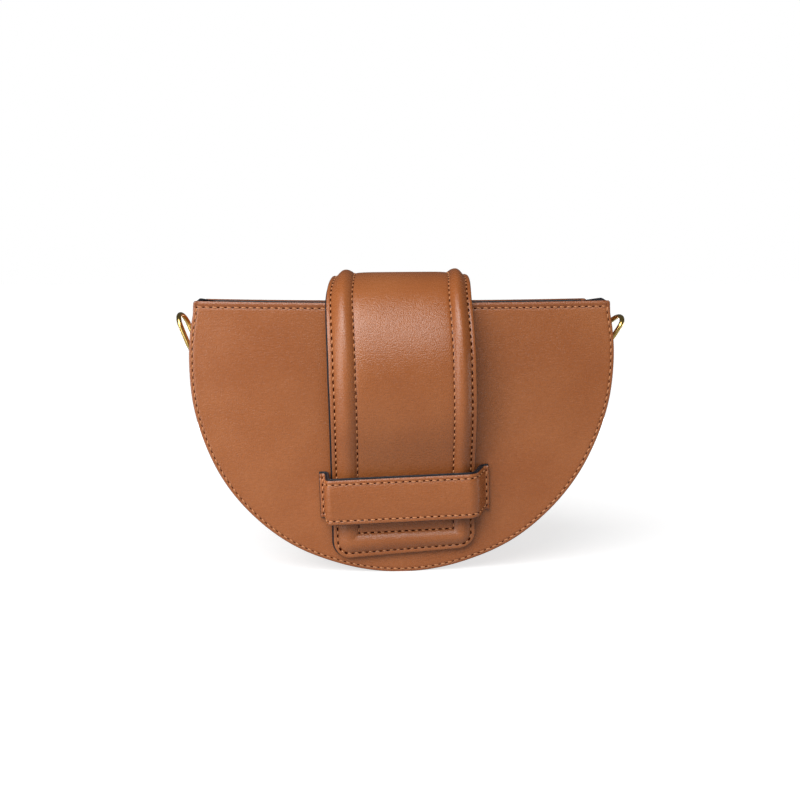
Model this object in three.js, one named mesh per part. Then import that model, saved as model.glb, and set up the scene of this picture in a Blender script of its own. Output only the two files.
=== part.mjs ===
// A half-moon clutch bag in tan leather: two flat panels joined by a flanged gusset, a wide padded strap that
// is sewn to the back, arches over the mouth and tucks its tongue behind a keeper on the front, and a D-ring
// in a leather tab at each end of the gusset. Millimetres, +Z up, the front faces -Y.
import * as THREE from "three";

// Body outline: a circle cut off straight at the mouth, a little longer below its centre and flattened at
// the base
const BODY_RADIUS = 115;
const BODY_DROP = 118.8;
const MOUTH_ABOVE_CENTRE = 31.5;
const BASE_FLATTENING = 1.5;
const MOUTH_DIP = 1.2;
const MOUTH_CORNER_RADIUS = 3;
const BODY_DEPTH = 54;

// Layers of the body, and the glue line that lies between any two of them
const GLUE_LINE = 0.3;
const PANEL_LEATHER = 1.6;
const GUSSET_LEATHER = 1.4;
const GUSSET_FLANGE = 3.6;
const GUSSET_BEND_RADIUS = 1.6;
const GUSSET_ABOVE_MOUTH = 1.2;
const BOARD_THICKNESS = 0.9;
const FACING_LEATHER = 1.2;
const FACING_HEIGHT = 22;
const LINING_THICKNESS = 0.6;
const LINING_BELOW_MOUTH = 14;

// Strap: its width, the layers of its section and the raised bead that runs round its rim
const STRAP_WIDTH_AT_ROOT = 77.2;
const STRAP_WIDTH_AT_TIP = 77;
const STRAP_CORNER_RADIUS = 9;
const STRAP_LINING = 1.2;
const STRAP_LEATHER = 1.3;
const STRAP_RIM = 1.9;
const BEAD_WIDTH = 10.6;
const BEAD_RISE = 3.4;
const FIELD_RISE = 1.6;
const BEAD_ROUNDNESS = 0.75;
const CORD_HALF_WIDTH = 2.6;
const CORD_CORNER_RADIUS = 3.5;
const PAD_MARGIN = 1;

// Strap: its route over the bag, how it lies askew, and the gaps at its two bending lines
const STRAP_SEAT_GAP = 0.4;
const CROWN_RISE = 10.5;
const MOUTH_CLEARANCE = 0.5;
const SHOULDER_BELOW_MOUTH = 42;
const FRONT_BEND_BELOW_MOUTH = 33;
const REAR_BEND_BELOW_MOUTH = 9;
const REAR_SEAT_BELOW_MOUTH = 34;
const ROOT_END_BELOW_MOUTH = 64;
const FRONT_SEAT_ABOVE_KEEPER = 7;
const TIP_ABOVE_BASE = 11.5;
const STRAP_DRIFT_AT_CROWN = -2.8;
const STRAP_DRIFT_AT_TIP = 0.1;
const TIP_SLANT_DEGREES = 4;
const BEND_GAP = 0.4;

// Keeper: the band that holds the tongue, a little askew and dragged down by it. Its left end turns up
// sharply and its right end slopes.
const KEEPER_WIDTH = 24;
const KEEPER_CENTRE_ABOVE_BASE = 45.5;
const KEEPER_TILT_DEGREES = 2.8;
const KEEPER_SAG = 2.2;
const KEEPER_LINING = 1;
const KEEPER_LEATHER = 1.4;
const KEEPER_TONGUE_CLEARANCE = 0.5;
const KEEPER_END_TAB = 2.1;
const KEEPER_LEFT_CLEARANCE = 4.1;
const KEEPER_LEFT_RISER_DEGREES = 88;
const KEEPER_LEFT_FOOT_RADIUS = 3;
const KEEPER_LEFT_SHOULDER_RADIUS = 0.8;
const KEEPER_RIGHT_CLEARANCE = 6.9;
const KEEPER_RIGHT_RISER_DEGREES = 62;
const KEEPER_RIGHT_FOOT_RADIUS = 3.2;
const KEEPER_RIGHT_SHOULDER_RADIUS = 4.5;

// D-rings and the tabs that hold them
const RING_WIRE_RADIUS = 1.2;
const RING_INNER_WIDTH = 16;
const RING_HEIGHT = 19.5;
const RING_BOW_RISE = 6.5;
const RING_CORNER_RADIUS = 3;
const RING_BELOW_MOUTH = 26.2;
const LEFT_RING_LEAN_DEGREES = 21;
const RIGHT_RING_LEAN_DEGREES = 33;
const TAB_WIDTH = 12;
const TAB_LEATHER = 1.4;
const TAB_LENGTH = 22;
const TAB_RING_CLEARANCE = 0.6;
const TAB_NECK = 8;

// Facet counts
const OUTLINE_STEPS = 28;
const BEND_STEPS = 3;
const BEAD_STEPS = 6;
const STRAP_STEP = 7;
const CORD_SIDES = 8;
const WIRE_SIDES = 8;
const RING_STEPS = 6;
const TAB_LOOP_STEPS = 6;
const MOUTH_EDGE_STEPS = 8;
const RIM_STEPS = 3;

// Derived places
const CENTRE_Z = BODY_DROP - BASE_FLATTENING;
const MOUTH_Z = CENTRE_Z + MOUTH_ABOVE_CENTRE;
const HALF_DEPTH = BODY_DEPTH / 2;
const WALL_INSET = GUSSET_FLANGE;
const LINING_INSET = WALL_INSET + GUSSET_LEATHER + LINING_THICKNESS + 2 * GLUE_LINE;
const BOARD_INSET = WALL_INSET + GUSSET_LEATHER + GLUE_LINE;
const SKIN_LOW = STRAP_LINING + GLUE_LINE;
const BEAD_INNER = STRAP_RIM + BEAD_WIDTH;
const radians = THREE.MathUtils.degToRad;

// Finishes
const tanLeather = new THREE.MeshStandardMaterial({ color: 0xa5673f, roughness: 0.48 });
const blackLining = new THREE.MeshStandardMaterial({ color: 0x1b191b, roughness: 0.85 });
const greyBoard = new THREE.MeshStandardMaterial({ color: 0x8d8478, roughness: 0.95 });
const whiteFiller = new THREE.MeshStandardMaterial({ color: 0xd8d2c4, roughness: 0.95 });
const goldPlate = new THREE.MeshStandardMaterial({ color: 0xc8a24a, roughness: 0.22, metalness: 1 });

// Closed solids

// Turns a triangle list into a geometry whose faces point outwards.
function solidFrom(points, triangles) {
  let volume = 0;
  for (const [a, b, c] of triangles) {
    volume += points[a].dot(new THREE.Vector3().crossVectors(points[b], points[c]));
  }
  const outward = volume < 0 ? triangles.map(([a, b, c]) => [a, c, b]) : triangles;
  const geometry = new THREE.BufferGeometry().setFromPoints(points);
  geometry.setIndex(outward.flat());
  geometry.computeVertexNormals();
  return geometry;
}

// Skins a row of rings that share one section, capped at both ends or joined end to end.
function loft(rings, section, endless = false) {
  const points = rings.flat();
  const size = section.length;
  const triangles = [];
  const spans = endless ? rings.length : rings.length - 1;
  for (let i = 0; i < spans; i += 1) {
    const here = i * size;
    const next = ((i + 1) % rings.length) * size;
    for (let j = 0; j < size; j += 1) {
      const k = (j + 1) % size;
      triangles.push([here + j, here + k, next + k], [here + j, next + k, next + j]);
    }
  }
  if (!endless) {
    const last = (rings.length - 1) * size;
    for (const [a, b, c] of THREE.ShapeUtils.triangulateShape(section, [])) {
      triangles.push([a, c, b], [last + a, last + b, last + c]);
    }
  }
  return solidFrom(points, triangles);
}

// A rectangle between two corners, as a section.
function rectangle(lowX, lowY, highX, highY) {
  return [
    new THREE.Vector2(lowX, lowY),
    new THREE.Vector2(highX, lowY),
    new THREE.Vector2(highX, highY),
    new THREE.Vector2(lowX, highY),
  ];
}

function named(name, geometry, material) {
  const mesh = new THREE.Mesh(geometry, material);
  mesh.name = name;
  return mesh;
}

// Body outline

// A point of the outline drawn in by inset, at an angle up from its centre.
function outlineAt(inset, side, angle) {
  const height = angle < 0 ? BODY_DROP - inset : BODY_RADIUS - inset;
  return new THREE.Vector2(
    side * (BODY_RADIUS - inset) * Math.cos(angle),
    CENTRE_Z + height * Math.sin(angle),
  );
}

// The same by a share that runs from 0 at the mouth to 1 at the base flat.
function outlinePoint(inset, top, side, share) {
  const mouthAngle = Math.asin((top - CENTRE_Z) / (BODY_RADIUS - inset));
  const baseAngle = -Math.asin((CENTRE_Z - inset) / (BODY_DROP - inset));
  return outlineAt(inset, side, THREE.MathUtils.lerp(mouthAngle, baseAngle, share));
}

// The outline from the right end of the mouth, round the base, to the left end.
function outlineStations(inset, top, firstShare = 0) {
  const share = (k) => THREE.MathUtils.lerp(firstShare, 1, k / OUTLINE_STEPS);
  const right = [];
  const left = [];
  for (let k = 0; k <= OUTLINE_STEPS; k += 1) {
    right.push(outlinePoint(inset, top, 1, share(k)));
    left.unshift(outlinePoint(inset, top, -1, share(k)));
  }
  return [...right, ...left];
}

// The dipped mouth edge between two points of the same height. The control point of such a curve lies twice as
// deep as the curve itself.
function addMouthEdge(shape, fromX, toX, top) {
  shape.lineTo(fromX, top);
  shape.quadraticCurveTo((fromX + toX) / 2, top - 2 * MOUTH_DIP, toX, top);
}

// A whole half moon, with its mouth corners rounded when a corner radius is given.
function halfMoon(inset, top, corner = 0) {
  const tip = outlinePoint(inset, top, 1, 0);
  const cornerShare = corner / (BODY_RADIUS * (Math.PI / 2));
  const shape = new THREE.Shape(outlineStations(inset, top, cornerShare));
  if (corner > 0) {
    shape.quadraticCurveTo(-tip.x, top, corner - tip.x, top);
  }
  addMouthEdge(shape, corner - tip.x, tip.x - corner, top);
  if (corner > 0) {
    const start = outlinePoint(inset, top, 1, cornerShare);
    shape.quadraticCurveTo(tip.x, top, start.x, start.y);
  }
  return shape;
}

// The part of the half moon that lies within a given height below the mouth.
function mouthBand(inset, height) {
  const steps = BEND_STEPS;
  const shape = new THREE.Shape();
  const edge = (side, k) => {
    const z = MOUTH_Z - (height * k) / steps;
    const radius = BODY_RADIUS - inset;
    return new THREE.Vector2(side * Math.sqrt(radius ** 2 - (z - CENTRE_Z) ** 2), z);
  };
  const first = edge(1, 0);
  shape.moveTo(first.x, first.y);
  for (let k = 1; k <= steps; k += 1) {
    shape.lineTo(edge(1, k).x, edge(1, k).y);
  }
  for (let k = steps; k >= 0; k -= 1) {
    shape.lineTo(edge(-1, k).x, edge(-1, k).y);
  }
  addMouthEdge(shape, -first.x, first.x, MOUTH_Z);
  return shape;
}

// A flat sheet of the body. depth is how far its outer face lies inside the bag's outer face, and face is -1
// for the front and +1 for the back.
function sheet(name, shape, material, face, depth, thickness) {
  const cut = { depth: thickness, bevelEnabled: false, curveSegments: MOUTH_EDGE_STEPS };
  const geometry = new THREE.ExtrudeGeometry(shape, cut);
  const mesh = named(name, geometry, material);
  const outer = face * (HALF_DEPTH - depth);
  mesh.rotation.x = Math.PI / 2;
  mesh.position.y = face < 0 ? outer + thickness : outer;
  return mesh;
}

// Panel leather, stiffening board, mouth facing and lining of one face of the bag.
function panelStack(label, face) {
  const group = new THREE.Group();
  const second = PANEL_LEATHER + GLUE_LINE;
  const third = second + Math.max(BOARD_THICKNESS, FACING_LEATHER) + GLUE_LINE;
  const panel = halfMoon(0, MOUTH_Z, MOUTH_CORNER_RADIUS);
  const board = halfMoon(BOARD_INSET, MOUTH_Z - FACING_HEIGHT - GLUE_LINE - MOUTH_DIP);
  const lining = halfMoon(LINING_INSET, MOUTH_Z - LINING_BELOW_MOUTH);
  group.add(
    sheet(`${label}_panel`, panel, tanLeather, face, 0, PANEL_LEATHER),
    sheet(`${label}_board`, board, greyBoard, face, second, BOARD_THICKNESS),
    sheet(`${label}_facing`, mouthBand(BOARD_INSET, FACING_HEIGHT), blackLining, face, second, FACING_LEATHER),
    sheet(`${label}_lining`, lining, blackLining, face, third, LINING_THICKNESS),
  );
  return group;
}

// Sweeps a section of (depth, inset) pairs round the outline.
function sweepRound(section, top) {
  const rows = section.map((p) => outlineStations(p.y, top));
  const rings = rows[0].map((_, k) =>
    section.map((p, j) => new THREE.Vector3(rows[j][k].x, p.x, rows[j][k].y)),
  );
  return loft(rings, section);
}

// The gusset: a wall between the panels whose edges turn outwards as flanges.
function gusset() {
  const outer = HALF_DEPTH - PANEL_LEATHER - GLUE_LINE;
  const bendCentre = new THREE.Vector2(
    outer - GUSSET_LEATHER - GUSSET_BEND_RADIUS,
    WALL_INSET - GUSSET_BEND_RADIUS,
  );
  const bend = (face, radius) => {
    const points = [];
    for (let k = 0; k <= BEND_STEPS; k += 1) {
      const angle = (Math.PI / 2) * (k / BEND_STEPS);
      const depth = face * (bendCentre.x + radius * Math.cos(angle));
      points.push(new THREE.Vector2(depth, bendCentre.y + radius * Math.sin(angle)));
    }
    return points;
  };
  const small = GUSSET_BEND_RADIUS;
  const large = GUSSET_BEND_RADIUS + GUSSET_LEATHER;
  const section = [
    new THREE.Vector2(GUSSET_LEATHER - outer, 0),
    ...bend(-1, small),
    ...bend(1, small).reverse(),
    new THREE.Vector2(outer - GUSSET_LEATHER, 0),
    new THREE.Vector2(outer, 0),
    ...bend(1, large),
    ...bend(-1, large).reverse(),
    new THREE.Vector2(-outer, 0),
  ];
  return named("gusset", sweepRound(section, MOUTH_Z + GUSSET_ABOVE_MOUTH), tanLeather);
}

// The lining strip inside the gusset wall, up to just below the wall's ends.
function gussetLining() {
  const inset = WALL_INSET + GUSSET_LEATHER + GLUE_LINE;
  const half = HALF_DEPTH - PANEL_LEATHER - GLUE_LINE - GUSSET_LEATHER - GUSSET_BEND_RADIUS;
  const section = rectangle(-half, inset, half, inset + LINING_THICKNESS);
  const top = MOUTH_Z + GUSSET_ABOVE_MOUTH - GLUE_LINE;
  return named("gusset_lining", sweepRound(section, top), blackLining);
}

// Strap route: the inner face of its lining, drawn in (y, z) from the root end to the tip

const strapSeatY = HALF_DEPTH + STRAP_SEAT_GAP;
const shoulderZ = MOUTH_Z - SHOULDER_BELOW_MOUTH;
const shoulderRise = CROWN_RISE + SHOULDER_BELOW_MOUTH;
const frontBendAngle = Math.PI - Math.asin((SHOULDER_BELOW_MOUTH - FRONT_BEND_BELOW_MOUTH) / shoulderRise);
const rearBendZ = MOUTH_Z - REAR_BEND_BELOW_MOUTH;
const keeperTopZ = KEEPER_CENTRE_ABOVE_BASE + KEEPER_WIDTH / 2;
const frontSeatZ = keeperTopZ + FRONT_SEAT_ABOVE_KEEPER;

// The half width of an elliptic quarter that starts drop below the mouth and just clears the mouth edge.
function archReach(drop) {
  const slope = (drop + MOUTH_CLEARANCE) / (drop + CROWN_RISE);
  return strapSeatY / Math.sqrt(1 - slope ** 2);
}

const frontReach = archReach(SHOULDER_BELOW_MOUTH);
const rearReach = archReach(REAR_BEND_BELOW_MOUTH);

// An S-curve that leaves and arrives vertically.
function slipCurve(from, to) {
  const middle = (from.y + to.y) / 2;
  return new THREE.CubicBezierCurve(
    from,
    new THREE.Vector2(from.x, middle),
    new THREE.Vector2(to.x, middle),
    to,
  );
}

const rootEnd = new THREE.Vector2(strapSeatY, MOUTH_Z - ROOT_END_BELOW_MOUTH);
const rearSeat = new THREE.Vector2(strapSeatY, MOUTH_Z - REAR_SEAT_BELOW_MOUTH);
const rearBend = new THREE.Vector2(rearReach, rearBendZ);
const shoulder = new THREE.Vector2(-frontReach, shoulderZ);
const frontSeat = new THREE.Vector2(-strapSeatY, frontSeatZ);
const tip = new THREE.Vector2(-strapSeatY, TIP_ABOVE_BASE);

const rootCurves = [new THREE.LineCurve(rootEnd, rearSeat), slipCurve(rearSeat, rearBend)];
const crownCurves = [
  new THREE.EllipseCurve(0, rearBendZ, rearReach, CROWN_RISE + REAR_BEND_BELOW_MOUTH, 0, Math.PI / 2),
  new THREE.EllipseCurve(0, shoulderZ, frontReach, shoulderRise, Math.PI / 2, frontBendAngle),
];
const tongueCurves = [
  new THREE.EllipseCurve(0, shoulderZ, frontReach, shoulderRise, frontBendAngle, Math.PI),
  slipCurve(shoulder, frontSeat),
  new THREE.LineCurve(frontSeat, tip),
];
const strapRoute = new THREE.CurvePath();
for (const curve of [...rootCurves, ...crownCurves, ...tongueCurves]) {
  strapRoute.add(curve);
}
const lengthOf = (curves) => curves.reduce((sum, curve) => sum + curve.getLength(), 0);
const ROOT_LENGTH = lengthOf(rootCurves);
const CROWN_LENGTH = lengthOf(crownCurves);
const STRAP_LENGTH = strapRoute.getLength();
const TONGUE_STRAIGHT = frontSeat.distanceTo(tip);
const STRAP_THICKNESS = SKIN_LOW + STRAP_LEATHER + FIELD_RISE / 2 + BEAD_RISE;

// Half the strap's width, and the sideways drift of its centre line, at a distance along the route. It
// drifts from the shoulder down.
function strapHalfWidth(along) {
  return THREE.MathUtils.lerp(STRAP_WIDTH_AT_ROOT, STRAP_WIDTH_AT_TIP, along / STRAP_LENGTH) / 2;
}

function strapDrift(along) {
  const level = ROOT_LENGTH + CROWN_LENGTH + tongueCurves[0].getLength();
  const share = Math.max(0, along - level) / (STRAP_LENGTH - level);
  return THREE.MathUtils.lerp(STRAP_DRIFT_AT_CROWN, STRAP_DRIFT_AT_TIP, share);
}

// A point of the strap: along its route, across from its centre line and up from the inner face of its lining.
// The straight end of the tongue is sheared so that its tip slants.
function strapPoint(along, across, up) {
  const intoEnd = Math.max(0, along - (STRAP_LENGTH - TONGUE_STRAIGHT)) / TONGUE_STRAIGHT;
  const slanted = along - across * Math.tan(radians(TIP_SLANT_DEGREES)) * intoEnd;
  const held = THREE.MathUtils.clamp(slanted, 0, STRAP_LENGTH);
  const place = strapRoute.getPoint(held / STRAP_LENGTH);
  const tangent = strapRoute.getTangent(held / STRAP_LENGTH);
  const beyond = slanted - held;
  return new THREE.Vector3(
    across + strapDrift(along),
    place.x + tangent.x * beyond + tangent.y * up,
    place.y + tangent.y * beyond - tangent.x * up,
  );
}

// Distance from the strap's rim, measured round its rounded corners.
function rimDistance(along, across) {
  const toSide = strapHalfWidth(along) - Math.abs(across);
  const toEnd = Math.min(along, STRAP_LENGTH - along);
  const radius = STRAP_CORNER_RADIUS;
  if (toSide < radius && toEnd < radius) {
    return radius - Math.hypot(radius - toSide, radius - toEnd);
  }
  return Math.min(toSide, toEnd);
}

// Height of the outer leather over its seat at the rim: the bead swells between two seams round a padded field.
function skinRise(fromRim) {
  const share = THREE.MathUtils.clamp((fromRim - STRAP_RIM) / BEAD_WIDTH, 0, 1);
  return FIELD_RISE * share + BEAD_RISE * Math.sin(Math.PI * share) ** BEAD_ROUNDNESS;
}

// Distances from the rim at which the strap's grid has a line.
const rimLines = [0, STRAP_RIM];
for (let k = 1; k <= BEAD_STEPS; k += 1) {
  rimLines.push(STRAP_RIM + (BEAD_WIDTH * k) / BEAD_STEPS);
}

// Distances along the route for one stretch of the strap, closer together where it ends in a rim.
function strapRows(from, to) {
  const rows = [];
  const startRim = from === 0;
  const endRim = to === STRAP_LENGTH;
  const edgeRows = [0, STRAP_RIM / RIM_STEPS, ...rimLines.slice(1)];
  const plainFrom = startRim ? BEAD_INNER : from;
  const plainTo = endRim ? STRAP_LENGTH - BEAD_INNER : to;
  if (startRim) {
    rows.push(...edgeRows.slice(0, -1));
  }
  const count = Math.max(1, Math.round((plainTo - plainFrom) / STRAP_STEP));
  for (let k = 0; k <= count; k += 1) {
    rows.push(THREE.MathUtils.lerp(plainFrom, plainTo, k / count));
  }
  if (endRim) {
    rows.push(...edgeRows.slice(0, -1).reverse().map((d) => STRAP_LENGTH - d));
  }
  return rows;
}

// The strap's half width at a row, drawn in round the corners of an end.
function cutHalfWidth(along) {
  const toEnd = Math.min(along, STRAP_LENGTH - along);
  const radius = STRAP_CORNER_RADIUS;
  const pull = toEnd < radius ? radius - Math.sqrt(radius ** 2 - (radius - toEnd) ** 2) : 0;
  return strapHalfWidth(along) - pull;
}

// One layer of the strap: a slab between two heights over a grid of rows and cross lines.
function strapLayer(rows, lines, lowAt, highAt) {
  const across = (along) => {
    const half = cutHalfWidth(along);
    return [...lines.map((d) => d - half), ...lines.map((d) => half - d).reverse()];
  };
  const size = 2 * lines.length;
  const rings = rows.map((along) => {
    const low = across(along).map((x) => strapPoint(along, x, lowAt(rimDistance(along, x))));
    const high = across(along).map((x) => strapPoint(along, x, highAt(rimDistance(along, x))));
    return [...low, ...high.reverse()];
  });
  const section = [];
  for (let j = 0; j < size; j += 1) {
    section.push(new THREE.Vector2(j, 0));
  }
  for (let j = size - 1; j >= 0; j -= 1) {
    section.push(new THREE.Vector2(j, 1));
  }
  return loft(rings, section);
}

// A filler cord along a flat route of (across, along) points under the bead.
function strapCord(route, steps) {
  const middle = SKIN_LOW + GLUE_LINE + (BEAD_RISE - GLUE_LINE) / 2;
  const halfHeight = (BEAD_RISE - GLUE_LINE) / 2;
  const section = [];
  for (let j = 0; j < CORD_SIDES; j += 1) {
    const angle = (2 * Math.PI * j) / CORD_SIDES;
    section.push(new THREE.Vector2(CORD_HALF_WIDTH * Math.cos(angle), middle + halfHeight * Math.sin(angle)));
  }
  const rings = [];
  for (let k = 0; k <= steps; k += 1) {
    const centre = route.getPoint(k / steps);
    const heading = route.getTangent(k / steps);
    rings.push(
      section.map((p) => strapPoint(centre.y + heading.x * p.x, centre.x - heading.y * p.x, p.y)),
    );
  }
  return loft(rings, section);
}

const cordInset = STRAP_RIM + BEAD_WIDTH / 2;
const cordAt = (side, along) => new THREE.Vector2(side * (strapHalfWidth(along) - cordInset), along);

// The straight cord of one side of the crown.
function sideCord(side, from, to) {
  return new THREE.LineCurve(cordAt(side, from), cordAt(side, to));
}

// A cord that runs down one side, across a strap end and back up the other side.
function endCord(open, end) {
  const inward = Math.sign(open - end);
  const across = end + inward * cordInset;
  const turn = across + inward * CORD_CORNER_RADIUS;
  const right = cordAt(1, across);
  const left = cordAt(-1, across);
  const route = new THREE.CurvePath();
  route.add(new THREE.LineCurve(cordAt(1, open), cordAt(1, turn)));
  route.add(
    new THREE.QuadraticBezierCurve(
      cordAt(1, turn),
      right,
      new THREE.Vector2(right.x - CORD_CORNER_RADIUS, across),
    ),
  );
  route.add(
    new THREE.LineCurve(
      new THREE.Vector2(right.x - CORD_CORNER_RADIUS, across),
      new THREE.Vector2(left.x + CORD_CORNER_RADIUS, across),
    ),
  );
  route.add(
    new THREE.QuadraticBezierCurve(
      new THREE.Vector2(left.x + CORD_CORNER_RADIUS, across),
      left,
      cordAt(-1, turn),
    ),
  );
  route.add(new THREE.LineCurve(cordAt(-1, turn), cordAt(-1, open)));
  return route;
}

// One stretch of the strap: outer leather, lining, field pad and filler cords.
function strapStretch(label, from, to) {
  const group = new THREE.Group();
  const rows = strapRows(from, to);
  const skinTop = (d) => SKIN_LOW + STRAP_LEATHER + skinRise(d);
  const skinBottom = (d) => SKIN_LOW + skinRise(d);
  const padFrom = from === 0 ? BEAD_INNER + PAD_MARGIN : from;
  const padTo = to === STRAP_LENGTH ? STRAP_LENGTH - BEAD_INNER - PAD_MARGIN : to;
  const padTop = SKIN_LOW + FIELD_RISE - GLUE_LINE;
  group.add(
    named(`strap_${label}_leather`, strapLayer(rows, rimLines, skinBottom, skinTop), tanLeather),
    named(`strap_${label}_lining`, strapLayer(rows, [0], () => 0, () => STRAP_LINING), blackLining),
    named(
      `strap_${label}_pad`,
      strapLayer(strapRows(padFrom, padTo), [BEAD_INNER + PAD_MARGIN], () => SKIN_LOW, () => padTop),
      whiteFiller,
    ),
  );
  return group;
}

// The whole strap, parted at its two bending lines.
function strap() {
  const group = new THREE.Group();
  const rearLine = ROOT_LENGTH;
  const frontLine = ROOT_LENGTH + CROWN_LENGTH;
  const crownFrom = rearLine + BEND_GAP / 2;
  const crownTo = frontLine - BEND_GAP / 2;
  const rootTo = rearLine - BEND_GAP / 2;
  const tongueFrom = frontLine + BEND_GAP / 2;
  const steps = (length) => Math.round(length / STRAP_STEP);
  group.add(
    strapStretch("root", 0, rootTo),
    strapStretch("crown", crownFrom, crownTo),
    strapStretch("tongue", tongueFrom, STRAP_LENGTH),
  );
  const ends = [
    ["root", endCord(rootTo, 0)],
    ["tongue", endCord(tongueFrom, STRAP_LENGTH)],
    ["crown_left", sideCord(-1, crownFrom, crownTo)],
    ["crown_right", sideCord(1, crownFrom, crownTo)],
  ];
  for (const [label, route] of ends) {
    group.add(named(`strap_${label}_cord`, strapCord(route, steps(route.getLength())), whiteFiller));
  }
  return group;
}

// Keeper

// How far the tongue sways forward while the crown swings it up and out of the keeper.
const rearPivot = new THREE.Vector2(rearReach + STRAP_THICKNESS + BEND_GAP / 2, rearBendZ);
const frontPivot = tongueCurves[0].getPoint(0);
const tongueSway = rearPivot.distanceTo(frontPivot) - (rearPivot.x - frontPivot.x);
const keeperStandoff = STRAP_SEAT_GAP + STRAP_THICKNESS + tongueSway + KEEPER_TONGUE_CLEARANCE;

const keeperAlong = STRAP_LENGTH - (KEEPER_CENTRE_ABOVE_BASE - TIP_ABOVE_BASE);

// Stations of the left half of a keeper's inner face in (x, distance from the panel): its end tab, the bend
// at its foot, the riser and the bend at its shoulder.
function keeperSide(clearance, riserDegrees, footRadius, shoulderRadius) {
  const tilt = radians(riserDegrees);
  const foot = strapHalfWidth(keeperAlong) + clearance;
  const footTop = GLUE_LINE + footRadius * (1 - Math.cos(tilt));
  const shoulderBottom = keeperStandoff - shoulderRadius * (1 - Math.cos(tilt));
  const footX = foot - footRadius * Math.sin(tilt);
  const shoulderX = footX - (shoulderBottom - footTop) / Math.tan(tilt);
  const topX = shoulderX - shoulderRadius * Math.sin(tilt);
  const footCentre = GLUE_LINE + footRadius;
  const shoulderCentre = keeperStandoff - shoulderRadius;
  const down = -Math.PI / 2;
  const up = Math.PI / 2;
  const flat = (x, y) => new THREE.Vector2(x, y);
  const curves = [
    new THREE.LineCurve(flat(-foot - KEEPER_END_TAB, GLUE_LINE), flat(-foot, GLUE_LINE)),
    new THREE.EllipseCurve(-foot, footCentre, footRadius, footRadius, down, down + tilt),
    new THREE.LineCurve(flat(-footX, footTop), flat(-shoulderX, shoulderBottom)),
    new THREE.EllipseCurve(-topX, shoulderCentre, shoulderRadius, shoulderRadius, up + tilt, up, true),
  ];
  const stations = [];
  for (const curve of curves) {
    const steps = curve.isLineCurve ? 1 : BEND_STEPS;
    for (let k = stations.length === 0 ? 0 : 1; k <= steps; k += 1) {
      stations.push({ point: curve.getPoint(k / steps), tangent: curve.getTangent(k / steps) });
    }
  }
  return stations;
}

// Stations of the whole inner face, from the left end to the right one.
function keeperStations() {
  const left = keeperSide(
    KEEPER_LEFT_CLEARANCE,
    KEEPER_LEFT_RISER_DEGREES,
    KEEPER_LEFT_FOOT_RADIUS,
    KEEPER_LEFT_SHOULDER_RADIUS,
  );
  const right = keeperSide(
    KEEPER_RIGHT_CLEARANCE,
    KEEPER_RIGHT_RISER_DEGREES,
    KEEPER_RIGHT_FOOT_RADIUS,
    KEEPER_RIGHT_SHOULDER_RADIUS,
  );
  const mirrored = right.reverse().map(({ point, tangent }) => ({
    point: new THREE.Vector2(-point.x, point.y),
    tangent: new THREE.Vector2(tangent.x, -tangent.y),
  }));
  return [...left, ...mirrored];
}

// One layer of the keeper between two distances from its inner face.
function keeperLayer(low, high) {
  const section = rectangle(low, -KEEPER_WIDTH / 2, high, KEEPER_WIDTH / 2);
  const rings = keeperStations().map(({ point, tangent }) =>
    section.map((p) => {
      const away = point.y + tangent.x * p.x;
      const drag = (KEEPER_SAG * point.y) / keeperStandoff;
      return new THREE.Vector3(point.x - tangent.y * p.x, -away, p.y - drag);
    }),
  );
  return loft(rings, section);
}

function keeper() {
  const group = new THREE.Group();
  const leatherLow = KEEPER_LINING + GLUE_LINE;
  group.add(
    named("keeper_leather", keeperLayer(leatherLow, leatherLow + KEEPER_LEATHER), tanLeather),
    named("keeper_lining", keeperLayer(0, KEEPER_LINING), blackLining),
  );
  group.position.set(strapDrift(keeperAlong), -HALF_DEPTH, KEEPER_CENTRE_ABOVE_BASE);
  group.rotation.y = -radians(KEEPER_TILT_DEGREES);
  return group;
}

// D-rings and tabs

const wallRadius = BODY_RADIUS - WALL_INSET;
const ringStandoff = GLUE_LINE + TAB_LEATHER + TAB_RING_CLEARANCE + RING_WIRE_RADIUS;
const ringZ = MOUTH_Z - RING_BELOW_MOUTH;
const ringAngle = Math.asin((ringZ - CENTRE_Z) / (wallRadius + ringStandoff));
const ringX = (wallRadius + ringStandoff) * Math.cos(ringAngle);

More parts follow.
